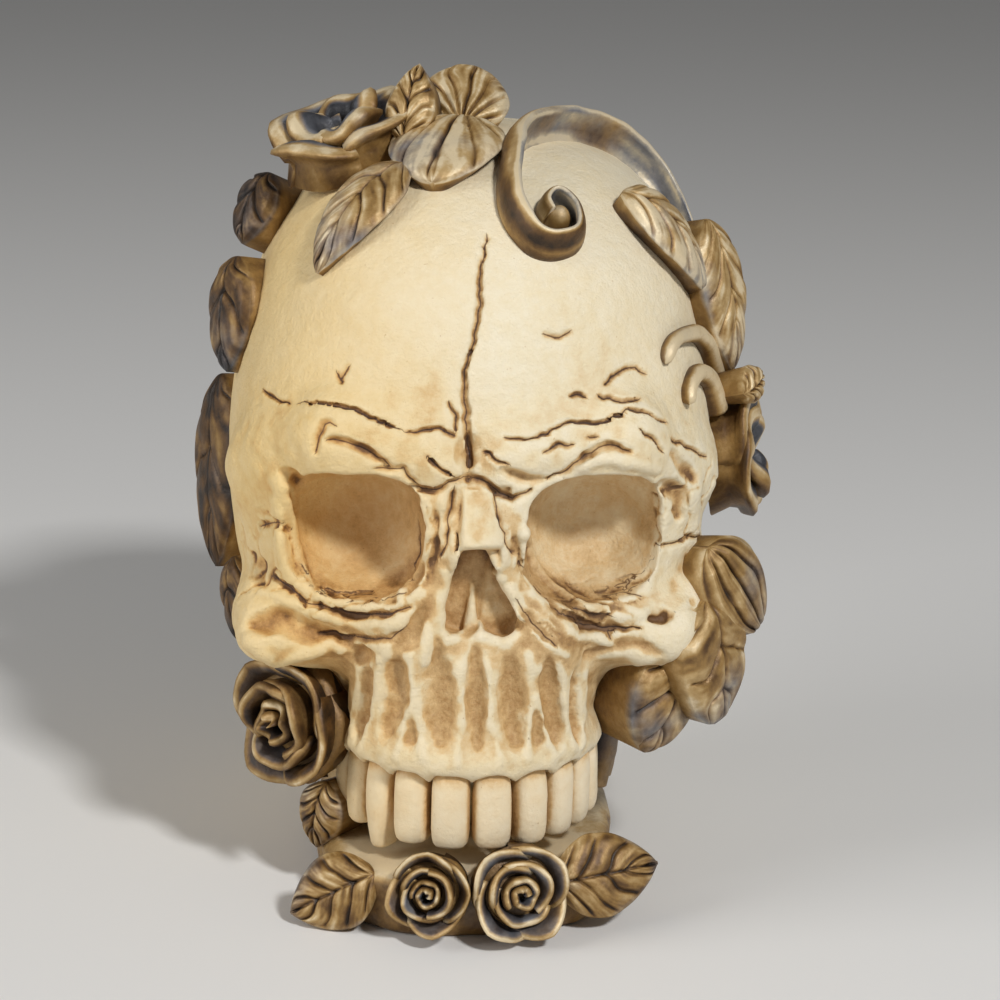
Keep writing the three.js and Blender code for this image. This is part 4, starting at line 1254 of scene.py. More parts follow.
def stained(points):
    """How much of the wash has stayed on each point in the patches."""
    total = np.zeros(len(points))
    for pixel, reach, strength in STAINS:
        away = np.linalg.norm(points - on_skin([pixel]), axis=1)
        total += strength * np.exp(-((away / reach) ** 2))
    return total * (1 + noise(points, *STAIN_GRAIN))


def in_sockets(points, depth):
    """How far inside a socket each point lies, from 0 to 1."""
    across = (np.abs(points[:, 0]) - EYE_SPACING / 2) / SOCKET_BOWL[0]
    upward = (points[:, 2] - SOCKET_HEIGHT) / SOCKET_BOWL[2]
    return smoothstep(*BOWL_EDGE, np.hypot(across, upward)) * smoothstep(*BOWL_DEPTHS, depth)


def in_jaw(points, face):
    """How far each point belongs to the nose and to the jaw under it, from 0 to 1."""
    height = points[:, 2]
    nose = smoothstep(*NOSE_HEIGHTS, height) * smoothstep(*NOSE_SIDES, np.abs(points[:, 0]))
    return face * np.maximum(smoothstep(*JAW_HEIGHTS, height), nose)


def skull_wash(points, hollows, depth, face, chips, bowl, cracks):
    """How much of the brown wash has stayed on each point."""
    aside, height = np.abs(points[:, 0]), points[:, 2]
    wash = DEEP_WASH * smoothstep(*DEEP_DEPTHS, depth)
    for blurs, weight, span in HOLLOW_WASH:
        wash += weight * smoothstep(*span, hollows[blurs])
    wash += face * (FACE_WASH + layered(points, FACE_WASH_GRAIN))
    wash += MIDFACE_WASH * face * smoothstep(*MIDFACE_HEIGHTS, height) * smoothstep(*MIDFACE_SIDES, aside)
    wash *= GUM_WASH + (1 - GUM_WASH) * smoothstep(*GUM_WASH_HEIGHTS, height)
    wash += stained(points) + CHIP_INK * chips
    wash = np.maximum(wash, CUT_WASH * smoothstep(*CUT_DEPTHS, depth) * face)
    wash += in_jaw(points, face) * (np.minimum(wash, JAW_WASH) - wash)
    wash += CRACK_INK * near_routes(points, cracks)
    wash += bowl * (BOWL_WASH + layered(points, BOWL_GRAIN) - wash)
    return np.clip(wash, 0, 1)


def build_skull():
    skull = carved_skull()
    points, faces = surface_net(skull.field, skull.axes)
    normals = mesh_normals(points, faces)
    depth = -skin_field_at(points)
    face = smoothstep(*FACE_DEPTHS, points[:, 1]) * smoothstep(*FACE_HEIGHTS, points[:, 2])
    chips = chipped(points, face, depth)
    rough = layered(points, CASTING) + face * layered(points, FACE_CASTING) - CHIP_DEPTH * chips
    points = points + normals * rough[:, None]
    hollows = hollowness(points, faces, normals)
    bowl = in_sockets(points, depth)
    aside, beside = across_cracks(points, skull.cracks + skull.creases)
    paint = {
        "wash": skull_wash(points, hollows, depth, face, chips, bowl, skull.cracks),
        # the 'aged' attribute holds painted warm light on the left of the head
        "aged": warm_light_from_left(points),
        "aside": aside,
        "beside": beside * (1 - bowl),
    }
    piece = add_piece("bone_skull", points, faces.tolist(), paint, BONE, "skull_shell")
    piece.modifiers.new("fewer_faces", "DECIMATE").ratio = SKULL_SHARE


# Each ring of a tooth: share of its height from the tip, and share of its width
TOOTH_RINGS = (
    (0.0, 0.3), (0.004, 0.55), (0.02, 0.76), (0.05, 0.88), (0.1, 0.95), (0.2, 1.0), (0.35, 1.0), (0.5, 0.99),
    (0.62, 0.97), (0.7, 0.93), (0.76, 0.86), (0.8, 0.78), (0.88, 0.6), (1.0, 0.45),
)
TOOTH_AROUND = 36
TOOTH_SQUARENESS = 2.7
# The one tooth that comes to a point, how much longer and narrower it is, and how far up
POINTED_TOOTH = "left_3"
POINT_LENGTH = 2.6
POINT_SHARE = 0.45
POINT_REACH = 0.45
# How far the points of a tooth are moved about and over what width, and how it is washed
TOOTH_SHAKE = (0.1, 3.0)
TOOTH_SEED = 20
SEEDS_A_TOOTH = 3
TOOTH_WASH = 0.03
TOOTH_GRAIN = ((0.08, 4.0, 60),)
TOOTH_SIDE_WASH = 0.36
TOOTH_SIDES = (0.84, 1.0)
TOOTH_GUM_WASH = 0.35
TOOTH_GUM_HEIGHTS = (GUM_LINE - 2, GUM_LINE + 1)


def level_ring(x, y, height):
    return np.stack([x, y, np.full_like(x, height)], -1)


def build_teeth():
    top = GUM_HEIGHT + TOOTH_ROOT
    oval = blunt_oval(full_turn(TOOTH_AROUND), TOOTH_SQUARENESS)
    for number, (name, width, at, facing) in enumerate(TEETH):
        cos, sin = math.cos(facing), math.sin(facing)
        pointed = name == POINTED_TOOTH
        tip = TOOTH_TIP - POINT_LENGTH * pointed
        loops = []
        for share, wide in TOOTH_RINGS:
            narrow = 1 - POINT_SHARE * pointed * (1 - smoothstep(0, POINT_REACH, share))
            flat = oval * (width / 2 * wide * narrow, TOOTH_DEPTH / 2 * wide)
            x = at[0] + flat[:, 0] * cos - flat[:, 1] * sin
            y = at[1] + flat[:, 0] * sin + flat[:, 1] * cos
            loops.append(level_ring(x, y, tip + (top - tip) * share))
        points, faces = loft(np.array(loops))
        points = shaken(points, *TOOTH_SHAKE, TOOTH_SEED + SEEDS_A_TOOTH * number)
        between = np.abs((points[:, :2] - at) @ (cos, sin)) / (width / 2)
        wash = TOOTH_SIDE_WASH * smoothstep(*TOOTH_SIDES, between)
        wash += TOOTH_GUM_WASH * smoothstep(*TOOTH_GUM_HEIGHTS, points[:, 2])
        wash += TOOTH_WASH + layered(points, TOOTH_GRAIN)
        # the 'aged' attribute holds painted warm light on the left, as on the skull
        paint = {"wash": np.clip(wash, 0, 1), "aged": warm_light_from_left(points)}
        add_piece("ivory_tooth_" + name, points, faces, paint, IVORY, "tooth_" + name)


# Seats of the ornaments


def seat_at(at, out, turn):
    """Tipward and sideways directions at a seat. The turn is clockwise from uphill, seen from outside."""
    uphill = unit(np.array([0, 0, 1.0]) - out * out[2])
    right = np.cross(uphill, out)
    along = uphill * math.cos(math.radians(turn)) + right * math.sin(math.radians(turn))
    return at, out, along, np.cross(along, out)


def seat_on_skin(spot):
    """The point and the outward direction of the skin at a longitude and latitude."""
    at = skin_point(head_direction(*spot))
    return at, skin_normal(at)


def skin_place(lon, lat, turn):
    """A relief that follows the skin of the skull."""
    at, _, ahead, aside = seat_at(*seat_on_skin((lon, lat)), turn)

    def place(across, along, height):
        flat = at + aside * across[..., None] + ahead * along[..., None]
        point = skin_point(unit(flat - HEAD_CENTRE))
        return point + skin_normal(point) * height[..., None]

    return place


def plane_place(seat, droop):
    """A relief on a plane of its own, that droops towards its ends."""
    at, out, ahead, aside = seat

    def place(across, along, height):
        raised = height - droop * along * along
        return at + aside * across[..., None] + ahead * along[..., None] + out * raised[..., None]

    return place


def offset_place(lon, lat, facing, standoff, turn, droop):
    out = head_direction(*facing)
    at = skin_point(head_direction(lon, lat)) + out * standoff
    return plane_place(seat_at(at, out, turn), droop)


def rim_place(aside, height, facing, turn, droop):
    """A relief on the front rim of the foot."""
    front = (1 - abs(aside) ** FOOT_SQUARENESS) ** (1 / FOOT_SQUARENESS)
    at = np.array([FOOT_WIDTH / 2 * aside, FOOT_SETBACK - FOOT_LENGTH / 2 * front, height])
    return plane_place(seat_at(at, head_direction(*facing), turn), droop)


# Leaves

LEAF_ROWS = 120
LEAF_COLUMNS = 64
LEAF_UNDER = 8
LEAF_THICKNESS = 2.4
LEAF_END = 0.05
LEAF_TAPER = 0.6
LEAF_SKEW = 0.8
# How a leaf's dome falls off towards its sides
DOME_ROUND = 0.42
DOME_BRIM = 0.3
BRIM_POWER = 6
VEIN_START = 0.3
VEIN_SLANT = 0.34
VEIN_CURL = 0.8
VEIN_WIDTH = 0.28
VEIN_DEPTH = 0.5
VEIN_WANDER = 0.22
VEIN_WAVES = (4, 2)
# The veins and pads come in after the stalk, and end before the tip and the sides
VEIN_STALK = (0.02, 0.12)
VEIN_TIP = (0.9, 1.0)
VEIN_SIDES = (0.8, 0.97)
PAD_POWER = 3
PALM_STALK = 0.12
RIB_WIDTH = 0.3
RIB_DEPTH = 0.5
SKIN_WALL = 0.8
SHALLOW = 10.0
DEEP = 20.0
RIM_WALL = 3.0
# Two steps down a leaf's wall, as shares of it, and how rubbed they are
WALL_STEPS = (0.12, 0.5)
WALL_RUB = (0.30, 0.14)
# How rubbed and how cool a leaf is
LEAF_RUB = 0.33
PAD_RUB = 0.10
VEIN_RUB = -0.34
RIB_RUB = -0.30
STREAK_RUB = 0.30
BRIM_RUB = 0.18
BRIM = (0.82, 1.0)
# Painted shade: blue-grey towards the tip and the sides of a leaf
TIP_PAINTED_SHADE = 0.16
BRIM_PAINTED_SHADE = 0.10
# Brush strokes along and across the veins, and their noises: weight and width
STROKES = (5.0, 2.5)
BROAD_STROKES = (0.6, 1.0)
FINE_STROKES = (0.4, 0.45)
LEAF_SPOTS = (0.16, 2.4)
LEAF_SHAKE = (0.14, 2.5)
# How a leaf looks: how its veins run, how many there are, how far the pads puff and how blunt it is
FEATHER = ("feather", 4.2, 0.3, 0.75)
PALM = ("palm", 3.2, 0.25, 0.5)
SHELL = ("shell", 2.0, 0.9, 0.6)
LOBED = ("feather", 2.6, 0.9, 0.6)
WORN = ("feather", 2.4, 0.6, 0.7)
# Painted light and shade: how much brighter or duller than the rest some pieces are painted, lighter high on
# the head and darker low down, on the left and in the shadows between parts
PAINTED_LIGHT_AND_SHADE = {
    "crown_leaf_low": 0.10,
    "crown_leaf_high": 0.08,
    "temple_leaf": 0.10,
    "side_leaf_middle": -0.08,
    "side_leaf_low": -0.08,
    "side_leaf_lowest": -0.12,
    "jaw_leaf": -0.10,
    "base_leaf_right": -0.16,
    "base_leaf_left": -0.10,
    "left_leaf_upper": -0.34,
    "left_leaf_middle": -0.34,
    "left_leaf_long": -0.40,
    "left_leaf_lower": -0.40,
    "rose_cheek": -0.14,
    "rose_front_left": -0.08,
    "rose_crown": 0.04,
    "stem_outer": -0.30,
    "stem_inner": -0.34,
}


def add_ornament(name, points, faces, rub, cool, material=BRONZE):
    """Adds a painted piece over the CAD node of the same name."""
    add_piece("gilt_" + name, points, faces, {"rub": rub, "cool": cool}, material, name)


def leaf_veins(pattern, count, share, side, across, length):
    """A number over the leaf that is whole on each vein, and how far it is from one vein to the next."""
    if pattern == "feather":
        return (share - VEIN_SLANT * np.abs(side) ** VEIN_CURL) * count + VEIN_START, length / count
    if pattern == "palm":
        ahead = (share + PALM_STALK) * length
        return np.arctan2(across, ahead) * count, np.hypot(across, ahead) / count
    return side * count + 0 * share, np.max(across) / count


def leaf_skin(place, across, along, height, under, wall):
    """The rings of a leaf: its face, its side, its back and its other side."""
    loops = [place(across, along, height)]
    for edge, depths in ((-1, WALL_STEPS), (0, WALL_STEPS[::-1])):
        for depth in depths:
            inset = 1 - (1 - LEAF_TAPER) * depth
            level = height[:, edge][:, None] * (1 - depth) - wall * depth
            loops.append(place(across[:, edge][:, None] * inset, along[:, :1], level))
        if edge == -1:
            loops.append(place(under, along[:, :1] + 0 * under, -wall + 0 * under))
    return loft(np.concatenate(loops, axis=1))


def build_leaf(name, place, length, width, lift, ahead, wall, look):
    pattern, veins, puff, bluntness = look
    seed = seed_of(name)
    share = (0.5 - 0.5 * np.cos(np.linspace(0, math.pi, LEAF_ROWS + 1)))[:, None]
    side = np.linspace(-1, 1, LEAF_COLUMNS + 1)[None, :]
    swell = np.maximum(LEAF_END, np.sin(math.pi * share**LEAF_SKEW) ** bluntness)
    across = side * width / 2 * swell
    phase, spacing = leaf_veins(pattern, veins, share, side, across, length)
    waves = [VEIN_WAVES[0] * share + 0 * side, VEIN_WAVES[1] * side + 0 * share, seed + 0 * phase]
    phase = phase + VEIN_WANDER * noise(np.stack(waves, -1), 1.0, seed)
    from_vein = np.abs(phase - np.round(phase))
    ends = smoothstep(*VEIN_STALK, share) * (1 - smoothstep(*VEIN_TIP, share))
    inner = 1 - smoothstep(*VEIN_SIDES, np.abs(side))
    vein = np.exp(-((from_vein * spacing / VEIN_WIDTH) ** 2)) * inner * ends
    pad = (1 - (1 - 2 * from_vein) ** PAD_POWER) * inner * ends
    rib = np.exp(-((across / RIB_WIDTH) ** 2)) * ends
    dome = 1 - DOME_ROUND * side**2 - DOME_BRIM * side**BRIM_POWER
    relief = LEAF_THICKNESS * np.sqrt(swell) * dome + puff * pad - VEIN_DEPTH * vein - RIB_DEPTH * rib
    along = ahead + (share - 0.5) * length + 0 * side
    height = lift[0] + (lift[1] - lift[0]) * share + LEAF_THICKNESS * LEAF_END + relief
    under_side = np.linspace(1, -1, LEAF_UNDER + 1)[None, :]
    under = np.maximum(LEAF_TAPER * swell, LEAF_END) * under_side * width / 2
    points, faces = leaf_skin(place, across, along, height, under, wall)
    points = shaken(points, *LEAF_SHAKE, seed)
    strokes = [STROKES[0] * phase, STROKES[1] * np.abs(side) + 0 * phase, np.sign(side) + 0 * phase]
    streak = layered(np.stack(strokes, -1), ((*BROAD_STROKES, seed), (*FINE_STROKES, seed + 1)))
    brim = smoothstep(*BRIM, np.abs(side))
    # Painted light and shade for the whole leaf come in here
    top_rub = LEAF_RUB + PAINTED_LIGHT_AND_SHADE.get(name, 0) + PAD_RUB * pad + VEIN_RUB * vein + RIB_RUB * rib
    top_rub = top_rub + STREAK_RUB * streak + BRIM_RUB * brim
    wall_rub = np.tile(WALL_RUB, (LEAF_ROWS + 1, 1))
    rub = np.concatenate([top_rub, wall_rub, 0 * under, wall_rub[:, ::-1]], axis=1)
    cool = np.zeros(rub.shape)
    # Painted shade: blue-grey towards the tip and the sides of the leaf
    cool[:, : LEAF_COLUMNS + 1] = TIP_PAINTED_SHADE * share + BRIM_PAINTED_SHADE * brim
    rub = rub + np.reshape(layered(points, ((*LEAF_SPOTS, seed + 2),)), rub.shape)
    add_ornament(name, points, faces, rub, cool)


# Each leaf on the skin: longitude, latitude and turn, length, width, lift at stalk and tip, and its look
SKIN_LEAVES = (
    ("crown_leaf_low", (-21, 78, 178), 23, 20, (2.5, 1.5), PALM),
    ("brow_leaf", (-41, 62, -172), 25, 14, (1.5, 1), FEATHER),
    ("temple_leaf", (63, 55, 149), 24, 14, (2.5, 2.5), FEATHER),
)
# Each leaf that stands off the skin: place, length, width, wall and look
STANDING_LEAVES = (
    ("crown_leaf_high", offset_place(-173, 79, (10, 48), 7, 18, 0), 14, 16, SHALLOW, PALM),
    ("crown_leaf_back", offset_place(-117, 83, (-20, 30), 12, 0, 0), 15, 9, SHALLOW, FEATHER),
    ("side_leaf_upper", offset_place(82, 44, (55, 12), 5.5, 176, 0.004), 28, 15, SHALLOW, FEATHER),
    ("side_bud", offset_place(77, 28, (60, 15), 8, 74, 0), 9, 7, SHALLOW, FEATHER),
    ("left_leaf_upper", offset_place(-103, 55, (-60, 25), 5, -176, 0), 14, 14, SHALLOW, WORN),
    ("left_leaf_middle", offset_place(-86, 41, (-62, 10), 3, 172, 0), 21, 16, SHALLOW, WORN),
    ("left_leaf_long", offset_place(-97, 5, (-62, 5), 2, 174, 0), 36, 18, SHALLOW, WORN),
    ("left_leaf_lower", offset_place(-78, -24, (-62, 0), 4, 165, 0), 17, 12, SHALLOW, WORN),
    ("side_leaf_middle", offset_place(62, -12, (45, 8), 8, 145, 0.006), 21, 16, DEEP, SHELL),
    ("side_leaf_low", offset_place(53, -24, (48, 2), 6.5, 172, 0.006), 24, 19, DEEP, LOBED),
    ("side_leaf_lowest", offset_place(49, -39, (38, -4), 15, -162, 0.006), 20, 17, DEEP, LOBED),
    ("jaw_leaf", offset_place(-43, -64, (-40, 5), 13.5, -172, 0.01), 13, 10, DEEP, FEATHER),
)
# Each leaf on the rim of the foot: place, length, width and how far ahead of its seat it lies
RIM_LEAVES = (
    ("base_leaf_right", rim_place(0.7, 9, (18, 22), 86, 0.004), 20, 15, 5),
    ("base_leaf_left", rim_place(-0.74, 7.4, (-18, 22), -121, 0.004), 17, 14, 4),
)
RIM_LIFT = (1, 2)


def build_leaves():
    for name, spot, length, width, lift, look in SKIN_LEAVES:
        build_leaf(name, skin_place(*spot), length, width, lift, 0, SKIN_WALL, look)
    for name, place, length, width, wall, look in STANDING_LEAVES:
        build_leaf(name, place, length, width, (0, 0), 0, wall, look)
    for name, place, length, width, ahead in RIM_LEAVES:
        build_leaf(name, place, length, width, RIM_LIFT, ahead, RIM_WALL, FEATHER)


# Roses: thick petals in rings round a rolled heart

# A petal: its start and sweep in degrees, then as shares of the rose's radius or height its radius at both
# ends, its top, its lean, its wall and how far its ends fall
CLOSED_HEART = (20, 560, 0.07, 0.34, 1.0, 0.02, 0.15, 0.0)
OPEN_HEART = (20, 420, 0.07, 0.22, 0.34, 0.02, 0.16, 0.0)
# Each ring of petals: how many, sweep, radius, top, lean, wall and fall
CLOSED_RINGS = (
    (3, 172, 0.50, 0.92, 0.10, 0.17, 0.30),
    (4, 132, 0.75, 0.68, 0.22, 0.17, 0.42),
)
OPEN_RINGS = (
    (3, 165, 0.38, 0.80, 0.20, 0.38, 0.30),
    (4, 132, 0.60, 0.66, 0.42, 0.46, 0.30),
)
# How a rose looks: its heart, its rings, how broad its bed is, and how much painted shade darkens it inside
CLOSED = (CLOSED_HEART, CLOSED_RINGS, 1.0, 0.0)
OPEN = (OPEN_HEART, OPEN_RINGS, 0.66, 0.22)
PETAL_SPIRAL = 0.06
PETAL_STEP = 6.0
PETAL_STRAY = 12.0
PETAL_UNEVEN = 0.10
HEART_FALL = 0.22
# A petal's section: share of its height, and share of its half wall inwards or outwards
PETAL_SECTION = (
    (0.0, -1.0), (0.45, -0.8), (0.72, -0.8), (0.86, -0.95), (0.95, -0.7), (1.0, 0.0),
    (0.98, 0.7), (0.91, 1.2), (0.82, 1.3), (0.72, 1.0), (0.45, 1.1), (0.0, 1.8),
)
PETAL_ROOT = 0.35
PETAL_FLARE = 1.25
FLARE_POWER = 3
# The waves of a petal's edge: height, waves in a turn and shift from petal to petal
PETAL_WAVE = 0.10
WAVE_COUNT = 4
WAVE_SHIFT = 2
# The lip of a petal: its share of the rose's height, and where in it the rubbed edge comes in
LIP_SHARE = 0.3
LIP_EDGE = (0.8, 1.0)
ROSE_RUB = 0.14
LIP_RUB = 0.42
# Painted shade: how blue-grey the insides of the petals are
INSIDE_PAINTED_SHADE = 0.26
PETAL_STREAK = (0.24, 2.6)
PETAL_SEED = 41
STREAK_COOL = 0.10
# The bed under the petals: shares of the rose's radius and height, and its lobes
BED_SHARES = (0.70, 0.98, 0.9, 0.7, 0.4, 0.05)
BED_HEIGHTS = (0.0, 0.06, 0.16, 0.24, 0.30, 0.32)
BED_AROUND = 40
BED_EVEN = 0.97
BED_LOBE = 0.04
BED_LOBES = 5
BED_RUB = 0.2
BED_COOL = 0.02
# How far the points of a rose are moved about, and over what width
ROSE_SHAKE = (0.16, 3.0)


def rose_petals(heart, rings):
    petals = [heart]
    for count, sweep, radius, top, lean, wall, fall in rings:
        for number in range(count):
            start = 360 / count * (number + radius) + PETAL_STRAY * random.normal()
            peak = top * (1 + PETAL_UNEVEN * random.normal())
            radii = (radius - PETAL_SPIRAL, radius + PETAL_SPIRAL)
            petals.append((start, sweep, *radii, peak, lean, wall, fall))
    return petals


def rose_bed(place, radius, height, sink, share):
    turn = full_turn(BED_AROUND)[None, :]
    up = height * np.array(BED_HEIGHTS)[:, None] + 0 * turn
    up[0] = -sink
    out = share * radius * np.array(BED_SHARES)[:, None] * (BED_EVEN + BED_LOBE * np.cos(BED_LOBES * turn))
    bed = loft(place(out * np.cos(turn), out * np.sin(turn), up))
    return (*bed, np.full(up.shape, BED_RUB + 1 - share), np.full(up.shape, BED_COOL))


def build_rose(name, place, radius, height, sink, look):
    heart, rings, bed_share, shade = look
    shells = []
    section = np.array(PETAL_SECTION)
    rise = section[None, :, 0]
    root = min(sink, PETAL_ROOT * height)
    for number, (start, sweep, first, last, top, lean, wall, fall) in enumerate(rose_petals(heart, rings)):
        share = np.linspace(0, 1, int(sweep / PETAL_STEP) + 1)[:, None]
        turn = np.radians(start + sweep * share)
        edge = np.abs(2 * share - 1)
        drop = fall * edge**2 if number else HEART_FALL * share
        peak = height * (top - drop + PETAL_WAVE * np.sin(WAVE_COUNT * turn + WAVE_SHIFT * number))
        up = -root + (peak + root) * rise
        out = radius * (first + (last - first) * share + lean * (PETAL_FLARE - edge) * rise**FLARE_POWER)
        out = out + radius * wall / 2 * section[None, :, 1]
        points, faces = loft(place(out * np.cos(turn), out * np.sin(turn), up))
        lip = smoothstep(*LIP_EDGE, (up - peak + LIP_SHARE * height) / (LIP_SHARE * height))
        # The insides of the petals, below the lip, get painted shade
        inside = (section[None, :, 1] < 0) * (1 - lip)
        streak = np.reshape(layered(points, ((*PETAL_STREAK, PETAL_SEED + number),)), up.shape)
        # Painted light and shade for the whole rose, and painted shade inside the petals
        rub = ROSE_RUB + PAINTED_LIGHT_AND_SHADE.get(name, 0) + LIP_RUB * lip - shade * inside + streak
        shells.append((points, faces, rub, (INSIDE_PAINTED_SHADE + shade) * inside + STREAK_COOL * streak))
    shells.append(rose_bed(place, radius, height, sink, bed_share))
    points, faces, rub, cool = joined(shells)
    add_ornament(name, shaken(points, *ROSE_SHAKE, seed_of(name)), faces, rub, cool)


# Each rose: place, radius, height, sink and look
ROSES = (
    ("rose_front_right", rim_place(0.3, 9.2, (8, 12), 0, 0), 8.6, 7, 3, CLOSED),
    ("rose_front_left", rim_place(-0.26, 9, (-10, 12), 30, 0), 7.2, 6.5, 3, CLOSED),
    ("rose_cheek", offset_place(-50, -49, (-45, 2), 11, 0, 0), 12, 8, 14, CLOSED),
    ("rose_crown", offset_place(-87, 71, (-55, 66), 3.5, 20, 0), 11.5, 9, 14, OPEN),
    ("rose_side", offset_place(84, 14, (78, 4), 3.5, 0, 0), 11.5, 8, 14, OPEN),
)


# The scroll, tendrils and stems run over the skin

# Longitudes and latitudes along the scroll, then its widths and heights after the share of its length
SCROLL_ROUTE = (
    (92, 46), (100, 53), (110, 60), (104, 72), (50, 79), (22, 72.5), (14, 64.5), (15.5, 59), (20, 56.8),
    (26.5, 57.5), (29.5, 61), (27, 64), (23, 63), (23, 61),
)
SCROLL_STEPS = 220
SCROLL_WIDTHS = ((0, 4.0), (0.3, 10.0), (0.5, 9.0), (0.68, 7.4), (0.85, 5.5), (1, 3.4))
SCROLL_HEIGHTS = ((0, 2.5), (0.3, 6.5), (0.6, 7.0), (0.8, 6.0), (1, 4.5))
# The scroll's section: share of its half width towards the outer side, and share of its height
SCROLL_SECTION = (
    (1.0, 0.0), (0.98, 0.2), (0.90, 0.42), (0.74, 0.64), (0.52, 0.82), (0.30, 0.94), (0.14, 0.99),
    (0.02, 1.0), (-0.08, 0.97), (-0.12, 0.9), (-0.06, 0.8), (0.08, 0.6), (0.16, 0.4), (0.14, 0.2),
    (0.0, 0.06), (-0.1, 0.0),
)
# How rubbed and how cool the scroll is, and its brush strokes along and across
SCROLL_RUB = 0.38
SCROLL_OUTER_RUB = -0.18
SCROLL_CREST_RUB = 0.44
SCROLL_CREST = (0.92, 1.0)
SCROLL_STROKES = (12, 9)
SCROLL_STROKE_RUB = 0.40
SCROLL_STROKE_SEED = 81
# Painted shade: the overhanging inner face of the scroll is tinted blue-grey
SCROLL_INNER_PAINTED_SHADE = 0.34
SCROLL_SHAKE = (0.14, 3.0, 80)
# The bead in the eye of the scroll: place, radii, the heights its rings run between, and its paint
BEAD_SPOT = (25, 60.8)
BEAD_RADII = (2.4, 2.4, 4.0)
BEAD_HEIGHTS = (-0.95, 0.98)
BEAD_RINGS = 16
BEAD_AROUND = 32
BEAD_RUB = 0.15
BEAD_TOP_RUB = 0.3
BEAD_TOP = (0.3, 1.0)
BEAD_COOL = 0.05
# Longitudes and latitudes along the tendrils and the stems
TENDRILS = {
    "temple_tendril_high": ((45, 36), (49, 39), (57, 40), (66, 39), (76, 34), (82, 27)),
    "temple_tendril_low": ((50, 28), (52, 31), (58, 33), (66, 31), (72, 25)),
}
STEMS = {
    "stem_outer": ((68, -39), (65, -47), (62, -55), (57, -62)),
    "stem_inner": ((52, -40), (49, -46), (46, -52), (43, -58)),
}
TENDRIL_THICKNESS = 4.4
TENDRIL_PROUD = 0.9
TENDRIL_TAPER = 0.45
STEM_THICKNESS = 7.0
STEM_PROUD = 2.4
STEM_TAPER = 0.1
TUBE_STEPS = 48
TUBE_AROUND = 18
TUBE_TALL = 1.15
# The round tip of a tube: its share of the length, and the least of its rounding
TUBE_TIP = 0.06
TUBE_TIP_LEAST = 0.02
TUBE_RUB = 0.02
TUBE_TOP_RUB = 0.60
TUBE_TOP = (-0.1, 0.8)
TUBE_END_RUB = 0.12
TUBE_END = (0.3, 0.0)
TUBE_COOL = 0.08
TUBE_SHAKE = (0.15, 3.0, 90)
SPLINE_STEPS = 40


def spline(points, count):
    """Points at even steps along a smooth curve through the given ones."""
    padded = np.concatenate([[2 * points[0] - points[1]], points, [2 * points[-1] - points[-2]]])
    t = np.linspace(0, 1, SPLINE_STEPS, endpoint=False)[:, None]
    dense = []
    for a, b, c, d in zip(padded[:-3], padded[1:-2], padded[2:-1], padded[3:]):
        bend = (2 * a - 5 * b + 4 * c - d) * t**2 + (3 * b - a - 3 * c + d) * t**3
        dense.append(0.5 * (2 * b + (c - a) * t + bend))
    return even_steps(np.concatenate(dense + [points[-1:]]), count + 1)


def skin_route(spots, steps):
    """Seats along a curve over the skin: point, outward and sideways directions."""
    at = skin_point(unit(spline(skin_spots(spots), steps) - HEAD_CENTRE))
    out = skin_normal(at)
    along = np.gradient(at, axis=0)
    along = unit(along - out * np.sum(along * out, axis=1, keepdims=True))
    return at, out, np.cross(along, out)


def swept(route, across, raised):
    """A skin round a section that runs along the seats of a route."""
    at, out, aside = route
    return loft(at[:, None] + aside[:, None] * across[..., None] + out[:, None] * raised[..., None])


def scroll_bead():
    """The bead in the eye of the scroll."""
    at, out, ahead, aside = seat_at(*seat_on_skin(BEAD_SPOT), 0)
    rise = np.linspace(*BEAD_HEIGHTS, BEAD_RINGS)[:, None]
    turn = full_turn(BEAD_AROUND)[None, :]
    wide = np.sqrt(1 - rise**2)
    shares = (wide * np.cos(turn), wide * np.sin(turn), rise + 0 * turn)
    axes = zip((ahead, aside, out), BEAD_RADII, shares)
    points, faces = loft(at + sum(axis * size * share[..., None] for axis, size, share in axes))
    rub = BEAD_RUB + BEAD_TOP_RUB * smoothstep(*BEAD_TOP, shares[2])
    return points, faces, rub, BEAD_COOL + 0 * rub


def build_scroll():
    share = np.linspace(0, 1, SCROLL_STEPS + 1)
    half = np.interp(share, *np.array(SCROLL_WIDTHS).T)[:, None] / 2
    height = np.interp(share, *np.array(SCROLL_HEIGHTS).T)[:, None]
    sideways, upward = np.array(SCROLL_SECTION).T
    raised = (height + SKIN_WALL) * upward - SKIN_WALL
    points, faces = swept(skin_route(SCROLL_ROUTE, SCROLL_STEPS), half * sideways, raised)
    outer = np.arange(len(upward)) < np.argmax(upward)
    along = SCROLL_STROKES[0] * share[:, None] + 0 * outer
    strokes = np.stack([along, SCROLL_STROKES[1] * upward + 0 * half, outer + 0 * half], -1)
    rub = SCROLL_RUB + SCROLL_OUTER_RUB * outer + SCROLL_CREST_RUB * smoothstep(*SCROLL_CREST, upward)
    rub = rub + SCROLL_STROKE_RUB * noise(strokes, 1.0, SCROLL_STROKE_SEED)
    # Painted shade on the inner face
    cool = SCROLL_INNER_PAINTED_SHADE * (1 - outer) + 0 * half
    points, faces, rub, cool = joined([(points, faces, rub, cool), scroll_bead()])
    add_ornament("crown_scroll", shaken(points, *SCROLL_SHAKE), faces, rub, cool)


